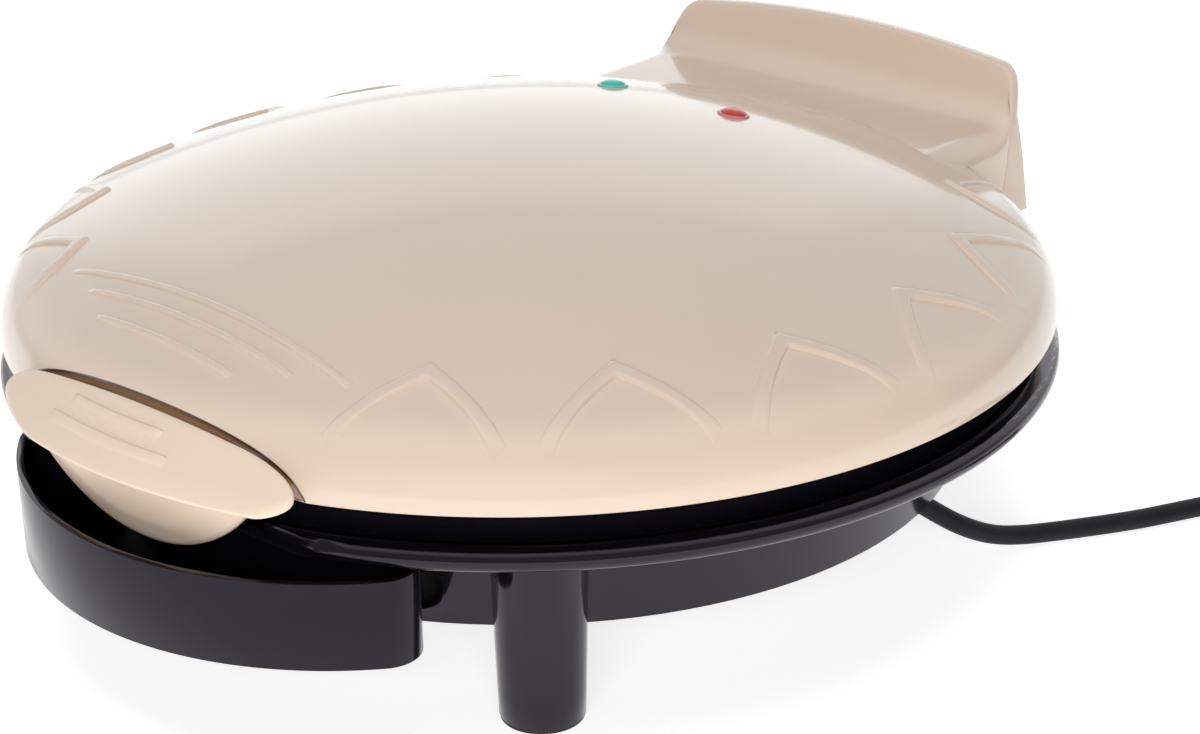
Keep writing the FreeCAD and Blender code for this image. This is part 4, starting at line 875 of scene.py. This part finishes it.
def lid_tail():
    """Shelf and fin as one closed skin, mirrored and then moved a little aside."""
    fins = fin_outline()
    rows = []
    for i, (shelf, fin) in enumerate(zip(shelf_section(), fins)):
        before, after = fins[max(i - 1, 0)], fins[min(i + 1, len(fins) - 1)]
        along = (after - before).normalized()
        rows.append(tail_profile(shelf, fin, Vector((along.y, -along.x))))
    flip = Matrix.Scale(-1, 3, (1, 0, 0))
    rows = [[flip @ p for p in row] for row in reversed(rows[1:])] + rows
    points, faces = woven(rows)
    mesh = mesh_of("lid_tail", [p + Vector((TAIL_ASIDE, 0, 0)) for p in points], faces)
    shape = opened(mesh)
    bmesh.ops.dissolve_degenerate(shape, edges=shape.edges, dist=MERGE)
    bmesh.ops.contextual_create(shape, geom=open_edges(shape))
    bmesh.ops.recalc_face_normals(shape, faces=shape.faces)
    return written(shape, mesh)


# Raised strips on the lid and the latch


def strip_rows(lines, place, height, fade):
    """Rows of points across a raised strip: lines run along it from one side to the other."""
    rows = []
    for i, (middle, half) in enumerate(lines):
        share = fade(i / (len(lines) - 1))
        row = []
        for across, up in STRIP_SECTION:
            lift = up * share if up > 0 else up
            flat = middle + half * across
            row.append(place(flat.x, flat.y, lift * height))
        rows.append(row)
    return rows


def strip_mesh(name, strips):
    """Closed mesh of raised strips, each given as rows of points across it."""
    points, faces = [], []
    for rows in strips:
        more, quads = woven(rows, closed=True)
        start, width = len(points), len(rows[0])
        last = start + len(more) - width
        faces += [tuple(v + start for v in quad) for quad in quads]
        faces.append(tuple(reversed(range(start, start + width))))
        faces.append(tuple(range(last, last + width)))
        points += more
    return cleaned(mesh_of(name, points, faces))


def chevron_fade(t):
    """Height of a chevron's ridge along its run: full at the tip, nothing at both feet."""
    reach = 1 - abs(2 * t - 1)
    return min(1.0, reach / CHEVRON_FADE) ** CHEVRON_EASE


def chevron_mesh(tip_radius):
    """One pointed arch on the dome at the front, its arms fading out towards the lid's edge."""
    tip = Vector((0, -tip_radius))
    arms = []
    for side in (-1, 1):
        a = radians(CHEVRON_SPREAD) * side
        foot = Vector((CHEVRON_FOOT_R * sin(a), -CHEVRON_FOOT_R * cos(a)))
        run = (foot - tip).normalized()
        square = Vector((-run.y, run.x)) * side * (CHEVRON_WIDTH / 2)
        mitre = Vector((0, 1)) * (CHEVRON_WIDTH / 2) / abs(run.x)
        arm = []
        for i in range(CHEVRON_STEPS + 1):
            t = i / CHEVRON_STEPS
            bow = sin(pi * t) * CHEVRON_BOW * Vector((side, 0))
            arm.append((tip.lerp(foot, t) + bow, mitre.lerp(square, min(1.0, t * CHEVRON_MITRE))))
        arms.append(arm)
    path = list(reversed(arms[0])) + arms[1][1:]
    return strip_mesh("chevron", [strip_rows(path, on_dome, RIDGE_HEIGHT, chevron_fade)])


def node_result(name, base, tree, values):
    """Runs a geometry tree on a mesh and gives the plain mesh that comes out."""
    holder = placed(name, base)
    modifier = holder.modifiers.new(name, "NODES")
    modifier.node_group = tree
    for socket in tree.interface.items_tree:
        if socket.name in values:
            modifier[socket.identifier] = values[socket.name]
    bpy.context.view_layer.update()
    seen = holder.evaluated_get(bpy.context.evaluated_depsgraph_get())
    mesh = bpy.data.meshes.new_from_object(seen)
    holder.modifiers.remove(modifier)
    bpy.data.objects.remove(holder)
    return mesh


def chevron_ring_tree():
    """Node tree that copies one chevron round the lid from a first angle in equal steps."""
    tree = bpy.data.node_groups.new("chevron_ring", "GeometryNodeTree")
    counts = {"Count": "Int", "First angle": "Float", "Pitch": "Float"}
    for name, kind in {"Chevron": "Geometry", **counts, "Plastic": "Material"}.items():
        tree.interface.new_socket(name, in_out="INPUT", socket_type="NodeSocket" + kind)
    tree.interface.new_socket("Ring", in_out="OUTPUT", socket_type="NodeSocketGeometry")
    given = tree.nodes.new("NodeGroupInput").outputs
    number = tree.nodes.new("GeometryNodeInputIndex").outputs[0]
    seats = add(tree, "GeometryNodePoints", {"Count": given["Count"]})
    steps = {0: number, 1: given["Pitch"], 2: given["First angle"]}
    angle = add(tree, "ShaderNodeMath", steps, operation="MULTIPLY_ADD")
    turn = add(tree, "ShaderNodeCombineXYZ", {"Z": angle.outputs[0]})
    rotation = add(tree, "FunctionNodeEulerToRotation", {0: turn.outputs[0]})
    seated = {"Points": seats.outputs[0], "Instance": given["Chevron"], "Rotation": rotation.outputs[0]}
    copies = add(tree, "GeometryNodeInstanceOnPoints", seated)
    real = add(tree, "GeometryNodeRealizeInstances", {0: copies.outputs[0]})
    painted = {"Geometry": real.outputs[0], "Material": given["Plastic"]}
    add(tree, "NodeGroupOutput", {0: add(tree, "GeometryNodeSetMaterial", painted).outputs[0]})
    return tree


def lid_chevrons():
    """Chevrons of both sides as one mesh."""
    tree = chevron_ring_tree()
    both = bmesh.new()
    for first, pitch, tip_radius in (CHEVRONS_RIGHT, CHEVRONS_LEFT):
        values = {
            "Count": CHEVRONS_PER_SIDE,
            "First angle": radians(first),
            "Pitch": radians(pitch),
            "Plastic": cream,
        }
        both.from_mesh(node_result("chevrons", chevron_mesh(tip_radius), tree, values))
    return written(both, bpy.data.meshes.new("lid_chevrons"))


def rib_lines(y, half):
    """Middle line of a slim rib that bends forward at its ends, with its half width."""
    turn = Matrix.Rotation(radians(RIB_TURN), 2)
    lines = []
    for i in range(RIB_STEPS + 1):
        x = half * (2 * i / RIB_STEPS - 1)
        middle = Vector((x, -y - RIB_BEND + sqrt(RIB_BEND**2 - x**2)))
        lines.append((turn @ middle, turn @ Vector((0, -1)) * (RIB_WIDTH / 2)))
    return lines


def rib_fade(t):
    """Height of a rib along its run: full but for both ends."""
    reach = min(t, 1 - t) / RIB_FADE
    return min(1.0, max(0.0, reach)) ** RIB_EASE


def lid_ribs():
    """The slim ribs above the latch."""
    ribs = [rib_lines(y, half) for y, half in LID_RIBS]
    return strip_mesh("lid_ribs", [strip_rows(lines, on_dome, RIB_HEIGHT, rib_fade) for lines in ribs])


# Latch


def bill_height(x, y):
    """Height of the bill's sloping top above a place."""
    fall = (BILL_TOP_Z - LIP_Z) / (LIP_RADIUS - BILL_TOP_R)
    return BILL_TOP_Z - fall * (hypot(x, y) - BILL_TOP_R)


def on_bill(x, y, lift=0.0):
    """Point on the bill at x, y, lifted straight up."""
    return Vector((x, y, bill_height(x, y) + lift))


def bill_edges():
    """Back and front edges of the bill from left to right, as equally many points seen from above."""
    back_bend = FACE_BEND + BILL_GAP
    backs, fronts = [], []

    def drawn_in(edge, across, reach):
        """An edge's place, rounded towards the bill's tip over its last reach."""
        past = max(0.0, abs(across) - BILL_HALF + reach) / reach
        return edge + (-BILL_TIP_Y - edge) * (1 - sqrt(max(0.0, 1 - past**2)))

    for i in range(BILL_STEPS + 1):
        across = -BILL_HALF * cos(pi * i / BILL_STEPS)
        x = across + LATCH_ASIDE
        side = 1 if across > 0 else 0
        back = -(FACE_Y + BILL_GAP) + back_bend - sqrt(back_bend**2 - x**2)
        front = -sqrt(LIP_RADIUS**2 - x**2)
        backs.append(Vector((x, drawn_in(back, across, BILL_BACK_ROUND[side]))))
        fronts.append(Vector((x, drawn_in(front, across, BILL_FRONT_ROUND[side]))))
    return backs, fronts


def latch_bill():
    """Sloping plate with rounded edges all round."""
    backs, fronts = bill_edges()
    loop = backs + list(reversed(fronts[1:-1]))
    half, count = len(backs), len(loop)

    def back_share(i):
        """How much of the edge's roll the bill has at a point: less along the back."""
        if i >= half:
            return 1.0
        t = (abs(loop[i].x - LATCH_ASIDE) / BILL_HALF - BILL_EASE_START) / BILL_EASE_RUN
        t = min(1.0, max(0.0, t))
        return BILL_BACK_SHARE + (1 - BILL_BACK_SHARE) * t * t * (3 - 2 * t)

    def inset(depth):
        """The bill's outline drawn in, by less along the back and at both tips."""
        moved = []
        for i, point in enumerate(loop):
            along = (loop[(i + 1) % count] - loop[i - 1]).normalized()
            room = (BILL_HALF - abs(point.x - LATCH_ASIDE)) / BILL_TIP_RUN
            share = back_share(i) * min(1.0, max(BILL_TIP_SHARE, room))
            moved.append(point + Vector((along.y, -along.x)) * depth * share)
        return moved

    rings = []
    for i in range(BILL_ROLL_STEPS + 1):
        a = pi / 2 * i / BILL_ROLL_STEPS
        flat = inset(BILL_ROLL * (1 - sin(a)))
        drop = BILL_EDGE * (1 - cos(a))
        rings.append([on_bill(p.x, p.y, -drop * back_share(k)) for k, p in enumerate(flat)])
    for i in range(ROUND_STEPS + 1):
        a = pi / 2 * i / ROUND_STEPS
        flat = inset(BILL_UNDER * (1 - cos(a)))
        drop = BILL_THICKNESS - BILL_UNDER * (1 - sin(a))
        rings.append([on_bill(p.x, p.y, -drop) for p in flat])
    points, faces = woven(rings, closed=True)
    for ring, drop in ((rings[0], 0.0), (rings[-1], BILL_THICKNESS)):
        facing = [ring[0]] + list(reversed(ring[half:])) + [ring[half - 1]]
        rows = []
        for j in range(BILL_ROWS + 1):
            flat = [a.lerp(b, j / BILL_ROWS) for a, b in zip(ring[:half], facing)]
            rows.append([on_bill(p.x, p.y, -drop) for p in flat])
        more, quads = woven(rows)
        faces += [tuple(v + len(points) for v in quad) for quad in quads]
        points += more
    return cleaned(mesh_of("latch_bill", points, faces))


def latch_tongue():
    """Round tongue under the bill, its front slightly bulged."""
    centre_z = TONGUE_TIP_Z + TONGUE_ROUND
    top_z = LIP_Z + TONGUE_TUCK
    half_turn = acos((centre_z - top_z) / TONGUE_ROUND)
    turns = [half_turn * (2 * i / TONGUE_COLUMNS - 1) for i in range(TONGUE_COLUMNS + 1)]
    back = -TONGUE_Y + TONGUE_THICKNESS

    def outline(inset):
        reach = TONGUE_ROUND - inset
        return [Vector((reach * sin(a), centre_z - reach * cos(a))) for a in turns]

    def front(flat):
        deep = min(1.0, hypot(flat.x, flat.y - centre_z) / TONGUE_ROUND)
        share = max(0.0, (deep - 1 + TONGUE_BORDER) / TONGUE_BORDER)
        return -TONGUE_Y - TONGUE_BULGE * (1 - share**TONGUE_EASE)

    rows = []
    inner = outline(TONGUE_EDGE)
    for j in range(TONGUE_ROWS + 1):
        flats = [Vector((low.x, top_z)).lerp(low, j / TONGUE_ROWS) for low in inner]
        rows.append([at(flat, front(flat)) for flat in flats])
    for k in range(1, ROUND_STEPS + 1):
        a = pi / 2 * k / ROUND_STEPS
        y = -TONGUE_Y + TONGUE_EDGE * (1 - cos(a))
        rows.append([at(low, y) for low in outline(TONGUE_EDGE * (1 - sin(a)))])
    rows.append([at(low, back - TONGUE_EDGE) for low in outline(0)])
    rows.append([at(low, back) for low in inner])
    rows.append([Vector((low.x, back, top_z)) for low in inner])
    points, faces = woven(rows)
    mesh = mesh_of("latch_tongue", points, faces)
    shape = opened(mesh)
    bmesh.ops.holes_fill(shape, edges=open_edges(shape), sides=0)
    bmesh.ops.recalc_face_normals(shape, faces=shape.faces)
    bmesh.ops.translate(shape, verts=shape.verts, vec=(LATCH_ASIDE, 0.0, 0.0))
    return written(shape, mesh)


def rounded_block(shape, low, high, edge=BLOCK_EDGE):
    """Adds a block with softened edges to a mesh in the making."""
    middle = (Vector(low) + Vector(high)) / 2
    size = Vector(high) - Vector(low)
    place = Matrix.Translation(middle) @ Matrix.Diagonal((*size, 1.0))
    corners = bmesh.ops.create_cube(shape, size=1.0, matrix=place)["verts"]
    rounded_off(shape, list({e for v in corners for e in v.link_edges}), edge)


def latch_arms():
    """Two lugs to the latch pin, the barb that hooks under the spout and the spring's peg."""
    shape = bmesh.new()
    front = -TONGUE_Y + TONGUE_THICKNESS / 2
    half, rise = LUG_THICKNESS / 2, LUG_HEIGHT / 2
    for x in (-LUG_X, LUG_X):
        low = (x - half, -LUG_FRONT_Y, LATCH_PIN_Z - rise)
        rounded_block(shape, low, (x + half, -LATCH_PIN_Y + LUG_TAIL, LATCH_PIN_Z + rise))
    low = (-BARB_HALF, front, BARB_TOP_Z - BARB_THICKNESS)
    rounded_block(shape, low, (BARB_HALF, -BARB_END_Y, BARB_TOP_Z))
    peg = Vector((LUG_X - half - PEG_LENGTH / 2, -PEG_Y, PEG_Z))
    reach = Vector((PEG_LENGTH / 2, PEG_RADIUS, PEG_RADIUS))
    rounded_block(shape, peg - reach, peg + reach, PEG_RADIUS * PEG_EDGE_SHARE)
    return written(shape, bpy.data.meshes.new("latch_arms"))


def bill_ribs():
    """The small arcs on the bill."""
    strips = []
    for radius, half, aside in BILL_RIBS:
        lines = []
        for i in range(BILL_RIB_STEPS + 1):
            a = (aside + half * (2 * i / BILL_RIB_STEPS - 1)) / radius
            out = Vector((sin(a), -cos(a)))
            lines.append((out * radius, out * (BILL_RIB_WIDTH / 2)))
        strips.append(strip_rows(lines, on_bill, BILL_RIB_HEIGHT, rib_fade))
    return strip_mesh("bill_ribs", strips)


def return_spring(material):
    """The latch's spring as a smooth copy of its node, its coil between its leg on the lid and its leg on
    the latch.
    """
    mesh = cleaned(copied("return_spring", "latch_spring"), NODE_MERGE)
    mesh.shade_smooth()
    mesh.materials.append(material)
    made = placed("return_spring", mesh)
    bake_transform(made)
    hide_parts("latch_spring")


# Lamps


def lamp_place(side):
    """Where a lamp sits on the dome, and which way it faces."""
    point = on_dome(side * LAMP_X, LAMP_Y)
    return point, (point - Vector((0, 0, CROWN_Z))).normalized()


def lamp_lens(name, side):
    """Low dome inside a thin raised rim, turned about the lamp's axis."""
    point, normal = lamp_place(side)
    foot = LENS_RIM[0][1]
    inner, seat = LENS_RIM[-1]
    outline = [(LENS_RADIUS * share, height) for share, height in LENS_RIM]
    for i in range(1, LENS_STEPS):
        a = pi / 2 * i / LENS_STEPS
        outline.append((LENS_RADIUS * inner * cos(a), seat + (LENS_CROWN - seat) * sin(a)))
    turn = Vector((0, 0, 1)).rotation_difference(normal)
    angles = [2 * pi * i / LENS_COLUMNS for i in range(LENS_COLUMNS)]
    rows = []
    for radius, height in outline:
        ring = [Vector((radius * cos(a), radius * sin(a), height)) for a in angles]
        rows.append([point + turn @ p for p in ring])
    points, faces = woven(rows, closed=True)
    top = len(points)
    last = top - LENS_COLUMNS
    points += [point + normal * LENS_CROWN, point + normal * foot]
    for i in range(LENS_COLUMNS):
        k = (i + 1) % LENS_COLUMNS
        faces.append((last + i, last + k, top))
        faces.append((k, i, top + 1))
    return cleaned(mesh_of(name, points, faces))


# Pieces of the part

lead = mains_lead()
piece("lid_dome", lid_dome(), dome_cream_with_painted_shade, "lid", ("lid_shell",))
piece("lid_tail", lid_tail(), cream, "lid")
piece("lid_chevrons", lid_chevrons(), cream, "lid", sharp=60)
piece("lid_ribs", lid_ribs(), cream, "lid", sharp=60)
piece("latch_arms", latch_arms(), latch_cream, "latch", ("latch_handle",))
piece("latch_bill", latch_bill(), latch_cream, "latch")
piece("latch_tongue", latch_tongue(), latch_cream, "latch")
piece("bill_ribs", bill_ribs(), latch_cream, "latch", sharp=60)

for colour, side, bright, dark in LENSES:
    name, lens = colour + "_lamp_lens", colour + "_lens"
    tint = clear_lens(colour + "_tint", lamp_place(side)[0], bright, dark)
    piece(name, lamp_lens(name, side), tint, "lid", (lens,), sharp=50)

softened("base_moulding", "base_shell", HOUSING_EDGE, black, rolled=on_rim_edge)
softened("tray_moulding", "drip_tray", HOUSING_EDGE, tray_black)
softened("lid_ring_moulding", "lid_ring", RING_EDGE, black)
softened("bracket_plate", "hinge_bracket", BRACKET_EDGE, painted_steel, right=BRACKET_RIGHT)
softened("plug_moulding", "plug_body", HOUSING_EDGE, cord_rubber)

NODE_FINISH = {
    "coated_aluminium": plate_coating,
    "heater_steel": dark_steel,
    "sheet_steel": steel,
    "zinc_steel": zinc,
    "inner_plastic": inner_black,
    "lamp_glass": lamp_glass,
    "white_ceramic": ceramic,
    "pad_rubber": pad_rubber,
    "cord_rubber": cord_rubber,
    "pin_brass": brass,
}
slot_of = {entry["node"]: entry["material_slot"] for entry in frame["record"]["subparts"]}
spring_slot = slot_of["latch_spring"]
return_spring(NODE_FINISH[spring_slot])
for name, node in nodes.items():
    if node.hide_render:
        continue
    node.data.materials.clear()
    node.data.materials.append(NODE_FINISH[slot_of[name]])


# Camera, floor and light


def place_camera():
    """The photograph's view."""
    made = bpy.data.cameras.new("photo_view")
    made.lens = CAMERA_LENS
    made.sensor_width = SENSOR_WIDTH
    made.sensor_fit = "HORIZONTAL"
    made.clip_start = CLIP_START
    holder = placed("photo_view", made)
    turn = Matrix.Rotation(radians(CAMERA_TURN), 4, "Z")
    turn = turn @ Matrix.Rotation(radians(CAMERA_TILT), 4, "X")
    turn = turn @ Matrix.Rotation(radians(CAMERA_ROLL), 4, "Z")
    holder.matrix_world = Matrix.Translation(CAMERA_PLACE) @ turn
    bpy.context.scene.camera = holder


def pale_floor():
    """Wide white floor with a faint glow of its own."""
    ends = ((-1, -1), (1, -1), (1, 1), (-1, 1))
    mesh = mesh_of("floor", [(x * FLOOR_REACH, y * FLOOR_REACH, 0) for x, y in ends], [(0, 1, 2, 3)])
    material, shader, where = start_material("pale_floor")
    fill(shader, {
        "Base Color": ramp(noise(where, scale=2.0), ((0.3, FLOOR_DEEP), (0.7, FLOOR_PALE))),
        "Roughness": 0.8,
        "Emission Color": (*WHITE, 1.0),
        "Emission Strength": FLOOR_GLOW,
    })
    mesh.materials.append(material)
    floor = placed("floor", mesh)


def studio_sky():
    """White studio seen only in gloss: bright above and behind, dim in front, a brighter panel behind."""
    world = bpy.data.worlds.new("studio")
    bpy.context.scene.world = world
    world.use_nodes = True
    world.cycles_visibility.diffuse = False
    tree = world.node_tree
    way = tree.nodes.new("ShaderNodeTexCoord").outputs["Generated"]

    def along(axis):
        return add(tree, "ShaderNodeVectorMath", {0: way, 1: axis}, operation="DOT_PRODUCT").outputs["Value"]

    def joined(kind, one, two):
        return add(tree, "ShaderNodeMath", {0: one, 1: two}, operation=kind).outputs["Value"]

    def eased(value, start, stop, low, high):
        return spread(value, low, high, start, stop, "SMOOTHSTEP")

    room = eased(along(ROOM_BRIGHT_WAY), *ROOM_FADE, ROOM_DIM, ROOM_BRIGHT)
    behind = along(PANEL_WAY)
    aside = joined("ABSOLUTE", joined("DIVIDE", along(PANEL_ACROSS), behind), 0.0)
    above = joined("DIVIDE", along((0, 0, 1)), behind)
    width = eased(aside, PANEL_HALF_WIDTH - PANEL_SOFT, PANEL_HALF_WIDTH, 1.0, 0.0)
    height = eased(above, PANEL_TOP - PANEL_SOFT, PANEL_TOP, 1.0, 0.0)
    facing = eased(behind, 0.0, PANEL_FACING, 0.0, PANEL_BRIGHT)
    panel = joined("MULTIPLY", joined("MULTIPLY", width, height), facing)
    fill(tree.nodes["Background"], {"Color": (*WHITE, 1.0), "Strength": joined("ADD", room, panel)})


def softbox(name, place, size, brightness):
    """Rectangular light of an even brightness, which doesn't show in gloss."""
    lamp = bpy.data.lights.new(name, "AREA")
    lamp.shape = "RECTANGLE"
    lamp.size, lamp.size_y = size
    lamp.energy = brightness * pi * size[0] * size[1]
    holder = placed(name, lamp)
    holder.location = place
    holder.rotation_euler = (Vector(SOFTBOX_AIM) - Vector(place)).to_track_quat("-Z", "Y").to_euler()
    holder.visible_camera = False
    holder.visible_glossy = False


place_camera()
pale_floor()
studio_sky()
for box in SOFTBOXES:
    softbox(*box)
bpy.context.scene.view_settings.view_transform = "Standard"
